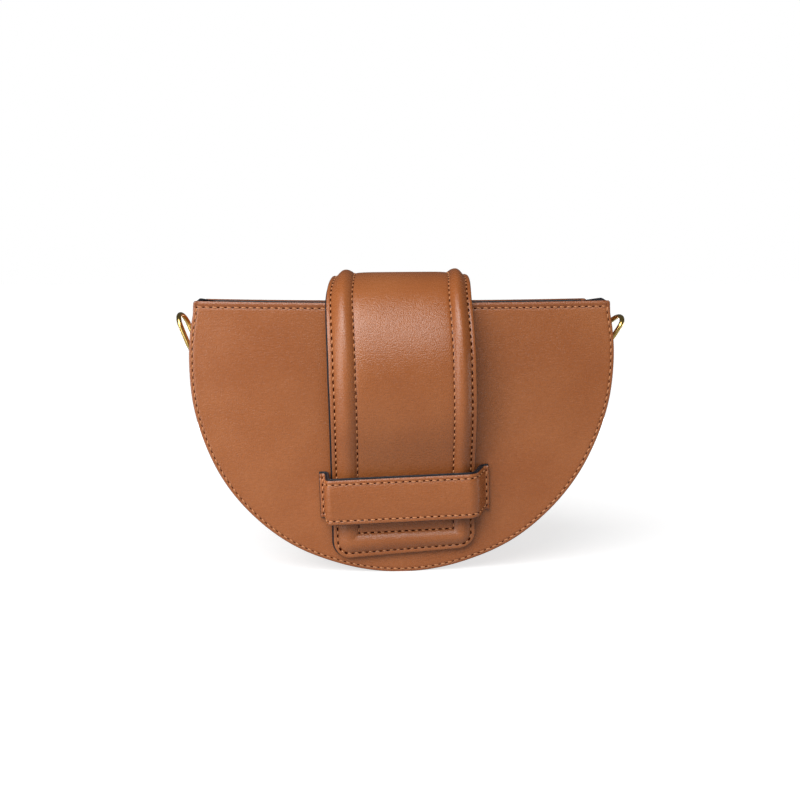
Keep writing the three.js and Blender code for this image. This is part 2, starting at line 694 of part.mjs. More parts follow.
// A round-wire D: a straight bar, two legs and a half-round bow, leaning outwards.
function dRing(name, side, lean) {
  const half = RING_INNER_WIDTH / 2 + RING_WIRE_RADIUS;
  const outline = new THREE.Shape();
  outline.moveTo(RING_CORNER_RADIUS - half, 0);
  outline.lineTo(half - RING_CORNER_RADIUS, 0);
  outline.absarc(half - RING_CORNER_RADIUS, RING_CORNER_RADIUS, RING_CORNER_RADIUS, -Math.PI / 2, 0);
  outline.absellipse(0, RING_HEIGHT - RING_BOW_RISE, half, RING_BOW_RISE, 0, Math.PI);
  outline.absarc(RING_CORNER_RADIUS - half, RING_CORNER_RADIUS, RING_CORNER_RADIUS, Math.PI, 1.5 * Math.PI);
  // Points closer together than half the wire's radius are merged.
  const leastStep = RING_WIRE_RADIUS / 2;
  const centres = [];
  for (const point of outline.getPoints(RING_STEPS)) {
    if (centres.length === 0 || point.distanceTo(centres[centres.length - 1]) > leastStep) {
      centres.push(point);
    }
  }
  if (centres[0].distanceTo(centres[centres.length - 1]) < leastStep) {
    centres.pop();
  }
  const section = [];
  for (let j = 0; j < WIRE_SIDES; j += 1) {
    const angle = (2 * Math.PI * j) / WIRE_SIDES;
    section.push(new THREE.Vector2(Math.cos(angle), Math.sin(angle)).multiplyScalar(RING_WIRE_RADIUS));
  }
  const rings = centres.map((centre, k) => {
    const before = centres[(k + centres.length - 1) % centres.length];
    const after = centres[(k + 1) % centres.length];
    const heading = new THREE.Vector2().subVectors(after, before).normalize();
    return section.map(
      (p) => new THREE.Vector3(p.y, centre.x + heading.y * p.x, centre.y - heading.x * p.x),
    );
  });
  const ring = named(name, loft(rings, section, true), goldPlate);
  ring.position.set(side * ringX, 0, ringZ);
  ring.rotation.y = side * radians(lean);
  return ring;
}

// The leather tab: a strip that runs up the gusset wall, round the bar of the ring and down again.
function ringTab(name, side) {
  const middle = TAB_LEATHER / 2;
  const near = GLUE_LINE + middle;
  const loop = RING_WIRE_RADIUS + TAB_RING_CLEARANCE + middle;
  const far = near + TAB_LEATHER + GLUE_LINE;
  const route = new THREE.CurvePath();
  route.add(new THREE.LineCurve(new THREE.Vector2(near, -TAB_LENGTH), new THREE.Vector2(near, 0)));
  route.add(new THREE.EllipseCurve(ringStandoff, 0, loop, loop, Math.PI, 0, true));
  route.add(slipCurve(new THREE.Vector2(ringStandoff + loop, 0), new THREE.Vector2(far, -TAB_NECK)));
  route.add(new THREE.LineCurve(new THREE.Vector2(far, -TAB_NECK), new THREE.Vector2(far, -TAB_LENGTH)));
  const section = rectangle(-TAB_WIDTH / 2, -middle, TAB_WIDTH / 2, middle);
  const rings = [];
  for (const curve of route.curves) {
    const steps = curve.isLineCurve ? BEND_STEPS : TAB_LOOP_STEPS;
    for (let k = rings.length === 0 ? 0 : 1; k <= steps; k += 1) {
      const point = curve.getPoint(k / steps);
      const tangent = curve.getTangent(k / steps);
      rings.push(
        section.map((p) => {
          const angle = ringAngle + (point.y - tangent.x * p.y) / (wallRadius + ringStandoff);
          const place = outlineAt(WALL_INSET - point.x - tangent.y * p.y, side, angle);
          return new THREE.Vector3(place.x, p.x, place.y);
        }),
      );
    }
  }
  return named(name, loft(rings, section), tanLeather);
}

// Assembly, with the origin under the middle of the whole bag

const bag = new THREE.Group();
bag.add(panelStack("front", -1), panelStack("rear", 1), gusset(), gussetLining(), strap(), keeper());
bag.add(ringTab("left_ring_tab", -1), dRing("left_d_ring", -1, LEFT_RING_LEAN_DEGREES));
bag.add(ringTab("right_ring_tab", 1), dRing("right_d_ring", 1, RIGHT_RING_LEAN_DEGREES));
const reach = new THREE.Box3().setFromObject(bag);
const middle = reach.getCenter(new THREE.Vector3());
bag.position.set(-middle.x, -middle.y, -reach.min.z);

const clutch = new THREE.Group();
clutch.add(bag);

export default clutch;
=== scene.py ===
"""Dresses a tan leather half-moon clutch bag: soft shells, seams, hardware, finishes and a plain studio.

Sizes are in millimetres in the bag's own frame: x to the right, y to the back, z up from the base, with
y = 0 in the middle of the bag's depth. Workshop.piece turns them into the frame's metres.
"""

import logging
import math
from dataclasses import dataclass
from enum import Enum
from typing import Any, Sequence

import bmesh
import bpy
import numpy as np
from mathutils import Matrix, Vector

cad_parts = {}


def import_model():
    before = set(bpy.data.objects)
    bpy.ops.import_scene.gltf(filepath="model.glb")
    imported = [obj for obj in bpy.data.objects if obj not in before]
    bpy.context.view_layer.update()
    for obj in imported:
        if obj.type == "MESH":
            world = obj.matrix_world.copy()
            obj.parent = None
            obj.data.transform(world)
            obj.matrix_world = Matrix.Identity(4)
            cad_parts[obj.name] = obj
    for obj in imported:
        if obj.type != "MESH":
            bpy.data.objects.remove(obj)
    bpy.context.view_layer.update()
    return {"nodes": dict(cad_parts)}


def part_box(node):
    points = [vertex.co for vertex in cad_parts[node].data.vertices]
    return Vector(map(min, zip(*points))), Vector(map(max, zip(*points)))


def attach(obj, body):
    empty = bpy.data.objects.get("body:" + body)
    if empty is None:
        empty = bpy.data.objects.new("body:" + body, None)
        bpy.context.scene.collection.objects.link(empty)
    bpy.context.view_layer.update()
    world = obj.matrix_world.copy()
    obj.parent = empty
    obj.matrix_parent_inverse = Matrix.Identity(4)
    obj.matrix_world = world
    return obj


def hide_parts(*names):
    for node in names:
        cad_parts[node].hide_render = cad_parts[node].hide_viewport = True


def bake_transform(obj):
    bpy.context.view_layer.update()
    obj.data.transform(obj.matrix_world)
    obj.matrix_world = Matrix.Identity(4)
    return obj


LOG = logging.getLogger("clutch_bag")
MM = 0.001
LAYOUT_MAP = "hide_layout"
# Mesh mark that darkens the leather at seams, mouth band and edges: partly wear and pressing, partly painted
# shade in the seam dips.
WEAR_AND_SHADE_MARK = "worn"
SHARP_DEGREES = 48.0
Array = np.ndarray
Colour = tuple[float, float, float, float]
Pair = tuple[float, float]
Stops = tuple[Pair, ...]
Materials = Sequence[bpy.types.Material]


class Slot(Enum):
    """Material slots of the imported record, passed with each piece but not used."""

    TAN = "tan_leather"
    BLACK = "black_lining"
    FILLER = "white_filler"
    GOLD = "gold_plate"


class Body(Enum):
    """Moving bodies of the frame."""

    BAG = "bag"
    CROWN = "flap_crown"
    TONGUE = "flap_tongue"
    LEFT_RING = "left_ring"
    RIGHT_RING = "right_ring"


class Face(Enum):
    """The two broad faces of the bag, by the sign of their outward y."""

    FRONT = -1
    REAR = 1


class Side(Enum):
    """The two ends of the bag, by the sign of their x."""

    LEFT = -1
    RIGHT = 1


RING_LEANS = {Side.LEFT: 21.0, Side.RIGHT: 33.0}


# Shape functions


def smooth(values: Array, low: float, high: float) -> Array:
    """Ramps from 0 at low to 1 at high with no corner at either end."""
    share = np.clip((np.asarray(values, float) - low) / (high - low), 0.0, 1.0)
    return share * share * (3.0 - 2.0 * share)


def bell(values: Array, centre: float, width: float) -> Array:
    """A bell curve that is 1 at its centre and has dropped to about a third a width away."""
    return np.exp(-(((np.asarray(values, float) - centre) / width) ** 2))


def bezier(controls: Sequence[Sequence[float]], steps: int) -> Array:
    """Samples a quadratic or cubic Bezier curve.

    Args:
        controls: Three or four control points.
        steps: Number of samples.

    Returns:
        The samples, one row each.
    """
    share = np.linspace(0.0, 1.0, steps)[:, None]
    points = [np.asarray(p, float)[None, :] + 0.0 * share for p in controls]
    while len(points) > 1:
        points = [a + (b - a) * share for a, b in zip(points, points[1:])]
    return points[0]


def arc(centre: Sequence[float], radii: Sequence[float], start: float, end: float, steps: int) -> Array:
    """Samples an arc of an ellipse between two angles in radians, from its centre and half axes."""
    angle = np.linspace(start, end, steps)
    return np.stack([centre[0] + radii[0] * np.cos(angle), centre[1] + radii[1] * np.sin(angle)], 1)


def run_length(points: Array) -> Array:
    """Distance along a row of points, starting at 0."""
    return np.concatenate([[0.0], np.cumsum(np.linalg.norm(np.diff(points, axis=0), axis=1))])


def read_at(length: Array, rows: Array, distance: Array) -> Array:
    """Rows of a run, read at distances along it."""
    return np.stack([np.interp(distance, length, rows[:, k]) for k in range(rows.shape[1])], -1)


def joined(runs: Sequence[Array]) -> Array:
    """Chains runs of points that meet end to end, keeping each shared point once."""
    return np.concatenate([runs[0], *[run[1:] for run in runs[1:]]])


def unit(vectors: Array) -> Array:
    """Vectors scaled to length 1."""
    return vectors / np.maximum(np.linalg.norm(vectors, axis=-1, keepdims=True), 1e-9)


class Route:
    """A flat run of points, with the distance along it and the way ahead at each."""

    def __init__(self, points: Array) -> None:
        """Measures the points.

        Args:
            points: The run's points, one row each.
        """
        self.points = points
        self.along = run_length(points)
        self.length = float(self.along[-1])
        self.heading = unit(np.gradient(points, self.along, axis=0))

    def place(self, along: Array) -> Array:
        """The two coordinates of places along the run."""
        return np.moveaxis(read_at(self.along, self.points, along), -1, 0)

    def ahead(self, along: Array) -> Array:
        """The two parts of the way ahead at places along the run."""
        return np.moveaxis(read_at(self.along, self.heading, along), -1, 0)


# Meshes in the making


class Hide:
    """A mesh in the making: points with a flat layout and a mark of wear and painted shade, and faces that
    each name a finish.
    """

    def __init__(self) -> None:
        """Starts with nothing."""
        self.points: list[Array] = []
        self.layout: list[Array] = []
        self.worn: list[Array] = []
        self.faces: list[tuple[Array, Array]] = []
        self.count = 0

    def add(self, points: Array, layout: Array, worn: Array | float = 0.0) -> Array:
        """Adds points.

        Args:
            points: Places in millimetres, in an array of any leading shape.
            layout: The same points laid out flat, in millimetres.
            worn: How much each point is darkened by wear and by painted shade in seam dips, from 0 to 1.

        Returns:
            The points' numbers, in the same leading shape.
        """
        shape = points.shape[:-1]
        total = int(np.prod(shape))
        self.points.append(np.reshape(points, (total, 3)))
        self.layout.append(np.reshape(np.broadcast_to(layout, shape + (2,)), (total, 2)))
        self.worn.append(np.reshape(np.broadcast_to(worn, shape), total))
        self.count += total
        return np.arange(self.count - total, self.count).reshape(shape)

    def skin(self, numbers: Array, finish: Array | int = 0, wrap: bool = False) -> None:
        """Spans quads over a grid of point numbers.

        Args:
            numbers: Point numbers in rows and columns, with any leading batch.
            finish: Finish of the quads, one for all or one for each column.
            wrap: Whether the last column joins the first.
        """
        across = np.concatenate([numbers, numbers[..., :1]], -1) if wrap else numbers
        corners = [across[..., :-1, :-1], across[..., :-1, 1:], across[..., 1:, 1:], across[..., 1:, :-1]]
        quads = np.stack(corners, -1)
        finishes = np.broadcast_to(finish, quads.shape[:-1])
        self.faces.append((quads.reshape(-1, 4), finishes.reshape(-1)))

    def fan(self, ring: Array, pole: Array, finish: int = 0) -> None:
        """Closes rings of point numbers to poles.

        Args:
            ring: Point numbers of a closed ring, with any leading batch.
            pole: The pole's number for each ring.
            finish: Finish of the triangles.
        """
        after = np.roll(ring, -1, -1)
        poles = np.broadcast_to(np.asarray(pole)[..., None], ring.shape)
        triangles = np.stack([ring, after, poles], -1).reshape(-1, 3)
        self.faces.append((triangles, np.full(len(triangles), finish)))

    def hem(
        self, outer: Array, inner: Array, away: Array, bulge: float, finish: Array | int, steps: int = 6
    ) -> None:
        """Joins two closed loops of points by a domed edge.

        Args:
            outer: Point numbers of the loop on the outer face.
            inner: Point numbers of the loop on the inner face.
            away: Direction off the sheet at each point of the loop.
            bulge: How far the edge domes out.
            finish: Finish of the edge, one for all or one for each step along the loop.
            steps: Facets across the edge.
        """
        points = np.concatenate(self.points)
        layout = np.concatenate(self.layout)
        middle = (points[outer] + points[inner]) / 2
        half = (points[outer] - points[inner]) / 2
        flat = away - half * np.sum(away * half, -1, keepdims=True) / np.sum(half * half, -1, keepdims=True)
        lift = unit(flat) * bulge
        angles = np.pi * np.arange(1, steps) / steps
        rows = [middle + half * math.cos(a) + lift * math.sin(a) for a in angles]
        between = self.add(np.stack(rows), np.stack([layout[outer]] * len(rows)))
        self.skin(np.concatenate([outer[None], between, inner[None]]), finish, wrap=True)

    def slab(
        self,
        outer: Array,
        inner: Array,
        layout: Array,
        edges: Sequence[int] = (1, 1, 1, 1),
        bulge: float = 0.3,
        worn: Array | float = 0.0,
    ) -> "Hide":
        """Makes a closed sheet with domed edges from its two faces.

        Args:
            outer: Points of the outer face in rows and columns.
            inner: Points of the inner face, likewise.
            layout: The outer face laid out flat.
            edges: Finishes of the edges at the first row, last column, last row and first column.
            bulge: How far the edges dome out.
            worn: Darkening of the outer face's points, by wear and by painted shade.

        Returns:
            This mesh.
        """
        front = self.add(outer, layout, worn)
        back = self.add(inner, layout)
        self.skin(front)
        self.skin(back)
        rows, columns = front.shape
        down = np.arange(rows)
        over = np.arange(columns)
        lines = [
            (0 * over[:-1], over[:-1]),
            (down[:-1], 0 * down[:-1] + columns - 1),
            (0 * over[:0:-1] + rows - 1, over[:0:-1]),
            (down[:0:-1], 0 * down[:0:-1]),
        ]
        loop_row = np.concatenate([line[0] for line in lines])
        loop_column = np.concatenate([line[1] for line in lines])
        finish = np.concatenate([np.full(len(line[0]), edge) for line, edge in zip(lines, edges)])
        near = outer[np.clip(loop_row, 1, rows - 2), np.clip(loop_column, 1, columns - 2)]
        away = outer[loop_row, loop_column] - near
        self.hem(front[loop_row, loop_column], back[loop_row, loop_column], away, bulge, finish)
        return self

    def disc(
        self,
        outer: Array,
        inner: Array,
        poles: Sequence[Array],
        finish: Array | int = 1,
        bulge: float = 0.3,
        worn: Array | float = 0.0,
    ) -> "Hide":
        """Makes a closed round sheet with a domed edge from the rings of its two faces.

        Args:
            outer: Rings of the outer face, from the edge inwards.
            inner: Rings of the inner face, likewise.
            poles: The middle points of the two faces.
            finish: Finish of the edge, one for all or one for each step along it.
            bulge: How far the edge domes out.
            worn: Darkening of the outer face's points, by wear and by painted shade.

        Returns:
            This mesh.
        """
        front = self.add(outer, outer[..., [0, 2]], worn)
        back = self.add(inner, inner[..., [0, 2]])
        for rings, pole in ((front, poles[0]), (back, poles[1])):
            self.skin(rings, wrap=True)
            self.fan(rings[-1], self.add(pole, pole[[0, 2]]))
        self.hem(front[0], back[0], outer[0] - outer[1], bulge, finish)
        return self

    def tube(self, centres: Array, across: Array, up: Array, closed: bool) -> "Hide":
        """Skins a tube of round or oval section.

        Args:
            centres: Points of the tube's middle line.
            across: First half axis of the section at each point.
            up: Second half axis, likewise.
            closed: Whether the tube's ends meet.

        Returns:
            This mesh.
        """
        sides = 20
        angle = 2 * np.pi * np.arange(sides) / sides
        rings = (
            centres[:, None]
            + across[:, None] * np.cos(angle)[None, :, None]
            + up[:, None] * np.sin(angle)[None, :, None]
        )
        along = run_length(centres)
        layout = np.stack(np.broadcast_arrays(angle[None, :], along[:, None]), -1)
        numbers = self.add(rings, layout)
        if closed:
            numbers = np.concatenate([numbers, numbers[:1]])
        self.skin(numbers, wrap=True)
        if not closed:
            for end in (0, -1):
                self.fan(numbers[end], self.add(centres[end], layout[end, 0]))
        return self


# Shader maths


class Wire:
    """One output of a node tree, on which Python's operators add Math nodes."""

    def __init__(self, nodes: "Nodes", socket: bpy.types.NodeSocket) -> None:
        """Wraps a socket of a tree."""
        self.nodes = nodes
        self.socket = socket

    def _math(self, operation: str, first: "Value", second: "Value") -> "Wire":
        """Adds one Math node on two values."""
        made = self.nodes.node("ShaderNodeMath", {"operation": operation}, {0: first, 1: second})
        return self.nodes.out(made)

    def __add__(self, other: "Value") -> "Wire":
        """This plus another value."""
        return self._math("ADD", self, other)

    def __radd__(self, other: "Value") -> "Wire":
        """Another value plus this."""
        return self._math("ADD", other, self)

    def __sub__(self, other: "Value") -> "Wire":
        """This minus another value."""
        return self._math("SUBTRACT", self, other)

    def __rsub__(self, other: "Value") -> "Wire":
        """Another value minus this."""
        return self._math("SUBTRACT", other, self)

    def __mul__(self, other: "Value") -> "Wire":
        """This times another value."""
        return self._math("MULTIPLY", self, other)

    def __rmul__(self, other: "Value") -> "Wire":
        """Another value times this."""
        return self._math("MULTIPLY", other, self)


Value = float | Sequence[float] | Wire


class Nodes:
    """A node tree and the few ways in which finishes add to it."""

    def __init__(self, tree: bpy.types.NodeTree) -> None:
        """Takes an emptied tree."""
        tree.nodes.clear()
        self.tree = tree

    def node(
        self,
        kind: str,
        settings: dict[str, Any] | None = None,
        sockets: dict[str | int, Value] | None = None,
    ) -> bpy.types.Node:
        """Adds a node.

        Args:
            kind: The node's type.
            settings: Its settings, which are set first. stops holds a colour ramp's stops.
            sockets: Values or links of its sockets.

        Returns:
            The node.
        """
        made = self.tree.nodes.new(kind)
        for key, value in (settings or {}).items():
            if key == "stops":
                self._set_stops(made.color_ramp, value)
            else:
                setattr(made, key, value)
        for key, value in (sockets or {}).items():
            if isinstance(value, Wire):
                self.tree.links.new(value.socket, made.inputs[key])
            else:
                made.inputs[key].default_value = value
        return made

    @staticmethod
    def _set_stops(ramp: bpy.types.ColorRamp, stops: Stops) -> None:
        """Sets a grey ramp's stops as (place, brightness) pairs.

        Args:
            ramp: The ramp.
            stops: Its stops.
        """
        while len(ramp.elements) < len(stops):
            ramp.elements.new(1.0)
        for element, (place, grey) in zip(ramp.elements, stops):
            element.position = place
            element.color = (grey, grey, grey, 1.0)

    def out(self, node: bpy.types.Node, key: str | int = 0) -> Wire:
        """An output of a node as a wire."""
        return Wire(self, node.outputs[key])

    def flat(self, across: float, along: float) -> Wire:
        """The piece laid out flat and measured in cells.

        Args:
            across: Size of a cell across the piece, in millimetres.
            along: Its size along the piece.

        Returns:
            The layout as a vector.
        """
        layout = self.out(self.node("ShaderNodeUVMap", {"uv_map": LAYOUT_MAP}))
        sockets = {0: layout, 1: (1.0 / (across * MM), 1.0 / (along * MM), 1.0)}
        return self.out(self.node("ShaderNodeVectorMath", {"operation": "MULTIPLY"}, sockets))

    def noise(self, place: Wire, detail: float = 3.0, fineness: float = 0.6) -> Wire:
        """Soft noise from 0 to 1, in cells of one unit of place, with octaves of finer noise by weight."""
        sockets = {"Vector": place, "Scale": 1.0, "Detail": detail, "Roughness": fineness}
        return self.out(self.node("ShaderNodeTexNoise", {"noise_dimensions": "2D"}, sockets))

    def cells(self, place: Wire) -> Wire:
        """Distance from the middle of the nearest of many small, uneven cells.

        Args:
            place: Where to read it.

        Returns:
            A value from 0 at a cell's middle.
        """
        settings = {"voronoi_dimensions": "2D", "feature": "SMOOTH_F1"}
        sockets = {"Vector": place, "Scale": 1.0, "Smoothness": 0.35, "Randomness": 1.0}
        return self.out(self.node("ShaderNodeTexVoronoi", settings, sockets), "Distance")

    def ramp(self, value: Wire, stops: Stops) -> Wire:
        """A value passed through a grey ramp of (place, brightness) stops."""
        return self.out(self.node("ShaderNodeValToRGB", {"stops": stops}, {"Fac": value}))

    def blend(self, share: Value, first: Value, second: Value) -> Wire:
        """Mixes two colours: the first where share is 0, the second where it is 1."""
        settings = {"data_type": "RGBA", "clamp_factor": True}
        return self.out(self.node("ShaderNodeMix", settings, {0: share, 6: first, 7: second}), 2)

    def mark(self, name: str) -> Wire:
        """A mark that the mesh carries on its points."""
        return self.out(self.node("ShaderNodeAttribute", {"attribute_name": name}), "Fac")

    def bump(self, height: Wire, depth: float, strength: float) -> Wire:
        """The normal bent by a height from 0 to 1, whose full depth is in millimetres."""
        sockets = {"Height": height, "Distance": depth * MM, "Strength": strength}
        return self.out(self.node("ShaderNodeBump", {}, sockets))

    def surface(self, sockets: dict[str | int, Value]) -> None:
        """Ends the tree in a surface shader with these sockets."""
        shader = self.node("ShaderNodeBsdfPrincipled", {}, sockets)
        self.node("ShaderNodeOutputMaterial", {}, {"Surface": self.out(shader)})


# Finishes


def material_nodes(name: str) -> tuple[bpy.types.Material, Nodes]:
    """A new material and its emptied tree.

    Args:
        name: The material's name.

    Returns:
        The material and its tree.
    """
    material = bpy.data.materials.new(name)
    material.use_nodes = True
    return material, Nodes(material.node_tree)


@dataclass(frozen=True)
class LeatherFinish:
    """Smooth dyed leather with a fine pebble, faint creases and cloudy dye. Cells are in millimetres."""

    name: str
    dye: Colour
    deep_dye: Colour
    pale_dye: Colour
    pebble: float = 0.65
    pebble_depth: float = 0.135
    pebble_height: float = 0.75
    crease: Pair = (2.8, 0.7)
    crease_height: float = 1.2
    cloud: float = 46.0
    cloud_fineness: float = 0.55
    cloud_stops: Stops = ((0.32, 0.0), (0.72, 1.0))
    speck: Pair = (2.6, 1.5)
    speck_detail: float = 2.0
    speck_stops: Stops = ((0.35, 0.1), (0.65, 0.0))
    valley_stops: Stops = ((0.28, 0.0), (0.75, 1.0))
    valley_tint: float = 0.15
    # How far the mesh's mark darkens towards the deep dye: partly wear, partly painted shade.
    pressed_and_shaded_tint: float = 0.55
    roughness: float = 0.14
    uneven: float = 0.1
    valley_rough: float = 0.06
    bump_strength: float = 0.8
    specular: float = 0.6

    def build(self) -> bpy.types.Material:
        """Makes the material.

        Returns:
            The material.
        """
        material, nodes = material_nodes(self.name)
        pebble = nodes.cells(nodes.flat(self.pebble, self.pebble))
        crease = nodes.noise(nodes.flat(*self.crease))
        cloud = nodes.noise(nodes.flat(self.cloud, self.cloud), fineness=self.cloud_fineness)
        speck = nodes.noise(nodes.flat(*self.speck), self.speck_detail)
        valley = nodes.ramp(pebble, self.valley_stops)
        clouded = nodes.blend(nodes.ramp(cloud, self.cloud_stops), self.dye, self.pale_dye)
        flecks = valley * self.valley_tint + nodes.ramp(speck, self.speck_stops)
        grained = nodes.blend(flecks, clouded, self.deep_dye)
        # Painted shade and wear: the mesh's mark darkens the colour towards the deep dye at seams, mouth band
        # and edges.
        pressed_and_shaded = nodes.mark(WEAR_AND_SHADE_MARK) * self.pressed_and_shaded_tint
        height = 1.0 - pebble * self.pebble_height + crease * self.crease_height
        uneven = cloud * self.uneven + speck * self.uneven + valley * self.valley_rough
        nodes.surface(
            {
                "Base Color": nodes.blend(pressed_and_shaded, grained, self.deep_dye),
                "Roughness": self.roughness + uneven,
                "Normal": nodes.bump(height, self.pebble_depth, self.bump_strength),
                "Specular IOR Level": self.specular,
            }
        )
        return material


@dataclass(frozen=True)
class ClothFinish:
    """Plain woven cloth: crossing threads a fraction of a millimetre wide."""

    name: str
    dye: Colour
    pale_dye: Colour
    thread: float = 0.55
    thread_depth: float = 0.09
    shade: Pair = (9.0, 14.0)
    shade_fineness: float = 0.5
    roughness: float = 0.82
    uneven: float = 0.12
    bump_strength: float = 0.7
    specular: float = 0.25
    sheen: float = 0.12

    def build(self) -> bpy.types.Material:
        """Makes the material.

        Returns:
            The material.
        """
        material, nodes = material_nodes(self.name)
        turn = self.thread / math.pi
        parts = nodes.node("ShaderNodeSeparateXYZ", {}, {0: nodes.flat(turn, turn)})
        warp, weft = (self._swell(nodes, nodes.out(parts, axis)) for axis in ("X", "Y"))
        shade = nodes.noise(nodes.flat(*self.shade), fineness=self.shade_fineness)
        weave = warp * 0.5 + weft * 0.5
        nodes.surface(
            {
                "Base Color": nodes.blend(weave * 0.5 + shade * 0.5, self.dye, self.pale_dye),
                "Roughness": self.roughness + shade * self.uneven,
                "Normal": nodes.bump(weave, self.thread_depth, self.bump_strength),
                "Specular IOR Level": self.specular,
                "Sheen Weight": self.sheen,
            }
        )
        return material

    @staticmethod
    def _swell(nodes: Nodes, place: Wire) -> Wire:
        """The rounded backs of parallel threads across a place."""
        sine = nodes.node("ShaderNodeMath", {"operation": "SINE"}, {0: place})
        return nodes.out(nodes.node("ShaderNodeMath", {"operation": "ABSOLUTE"}, {0: nodes.out(sine)}))


@dataclass(frozen=True)
class CoatFinish:
    """A plain coat with a mottle: edge paint, thread, painted shade for awl holes, board and felt."""

    name: str
    dye: Colour
    pale_dye: Colour
    mottle: float
    relief: float
    roughness: float
    specular: float = 0.4
    uneven: float = 0.12
    mottle_stops: Stops = ((0.3, 0.0), (0.7, 1.0))
    bump_strength: float = 0.7

    def build(self) -> bpy.types.Material:
        """Makes the material.

        Returns:
            The material.
        """
        material, nodes = material_nodes(self.name)
        mottle = nodes.noise(nodes.flat(self.mottle, self.mottle))
        share = nodes.ramp(mottle, self.mottle_stops)
        nodes.surface(
            {
                "Base Color": nodes.blend(share, self.dye, self.pale_dye),
                "Roughness": self.roughness - self.uneven / 2 + mottle * self.uneven,
                "Normal": nodes.bump(mottle, self.relief, self.bump_strength),
                "Specular IOR Level": self.specular,
            }
        )
        return material


@dataclass(frozen=True)
class PlateFinish:
    """Polished plate with fine scratches and a little cloudiness."""

    name: str
    dye: Colour
    deep_dye: Colour
    roughness: float = 0.11
    cloud: Pair = (1 / 0.9, 1 / 0.26)
    cloud_detail: float = 2.0
    cloud_fineness: float = 0.5
    cloud_rough: float = 0.08
    scratch: Pair = (1 / 0.12, 1 / 5.2)
    scratch_fineness: float = 0.7
    scratch_rough: float = 0.07
    scratch_depth: float = 0.004
    bump_strength: float = 0.5

    def build(self) -> bpy.types.Material:
        """Makes the material.

        Returns:
            The material.
        """
        material, nodes = material_nodes(self.name)
        cloud = nodes.noise(nodes.flat(*self.cloud), self.cloud_detail, self.cloud_fineness)
        scratch = nodes.noise(nodes.flat(*self.scratch), fineness=self.scratch_fineness)
        nodes.surface(
            {
                "Base Color": nodes.blend(cloud, self.deep_dye, self.dye),
                "Metallic": 1.0,
                "Roughness": self.roughness + cloud * self.cloud_rough + scratch * self.scratch_rough,
                "Normal": nodes.bump(scratch, self.scratch_depth, self.bump_strength),
            }
        )
        return material


class Palette:
    """Every finish of the bag, built once."""

    def __init__(self) -> None:
        """Builds the materials."""
        tan = (0.350, 0.107, 0.030, 1), (0.210, 0.056, 0.014, 1), (0.400, 0.132, 0.041, 1)
        black = (0.012, 0.011, 0.013, 1), (0.005, 0.005, 0.006, 1), (0.020, 0.018, 0.021, 1)
        self.leather = LeatherFinish("tan_leather", *tan).build()
        self.facing = LeatherFinish("black_facing", *black, roughness=0.5).build()
        self.cloth = ClothFinish("black_lining", (0.007, 0.007, 0.009, 1), (0.022, 0.021, 0.025, 1)).build()
        coats = {
            "black_edge_paint": ((0.008, 0.008, 0.012, 1), (0.018, 0.018, 0.026, 1), 2.5, 0.03, 0.38),
            "brown_edge_paint": ((0.135, 0.040, 0.016, 1), (0.200, 0.062, 0.025, 1), 2.0, 0.03, 0.42),
            "tan_thread": ((0.470, 0.180, 0.070, 1), (0.620, 0.280, 0.125, 1), 0.5, 0.05, 0.55),
            "black_thread": ((0.012, 0.012, 0.014, 1), (0.030, 0.029, 0.032, 1), 0.5, 0.05, 0.6),
            # awl holes: dark discs over the leather, painted shade of the holes.
            "awl_hole": ((0.018, 0.0012, 0.0004, 1), (0.030, 0.0026, 0.0008, 1), 0.6, 0.03, 0.95, 0.0),
            "grey_board": ((0.190, 0.165, 0.135, 1), (0.330, 0.295, 0.250, 1), 1.2, 0.06, 0.92, 0.15),
            "white_filler": ((0.560, 0.530, 0.460, 1), (0.760, 0.730, 0.660, 1), 0.9, 0.12, 0.95, 0.1),
        }
        coated = [CoatFinish(name, *looks).build() for name, looks in coats.items()]
        self.black_edge, self.brown_edge, self.thread, self.black_thread, self.hole_shade = coated[:5]
        self.board, self.filler = coated[5:]
        self.gold = PlateFinish("gold_plate", (0.93, 0.68, 0.24, 1), (0.74, 0.48, 0.13, 1)).build()


# The workshop turns meshes in the making into pieces


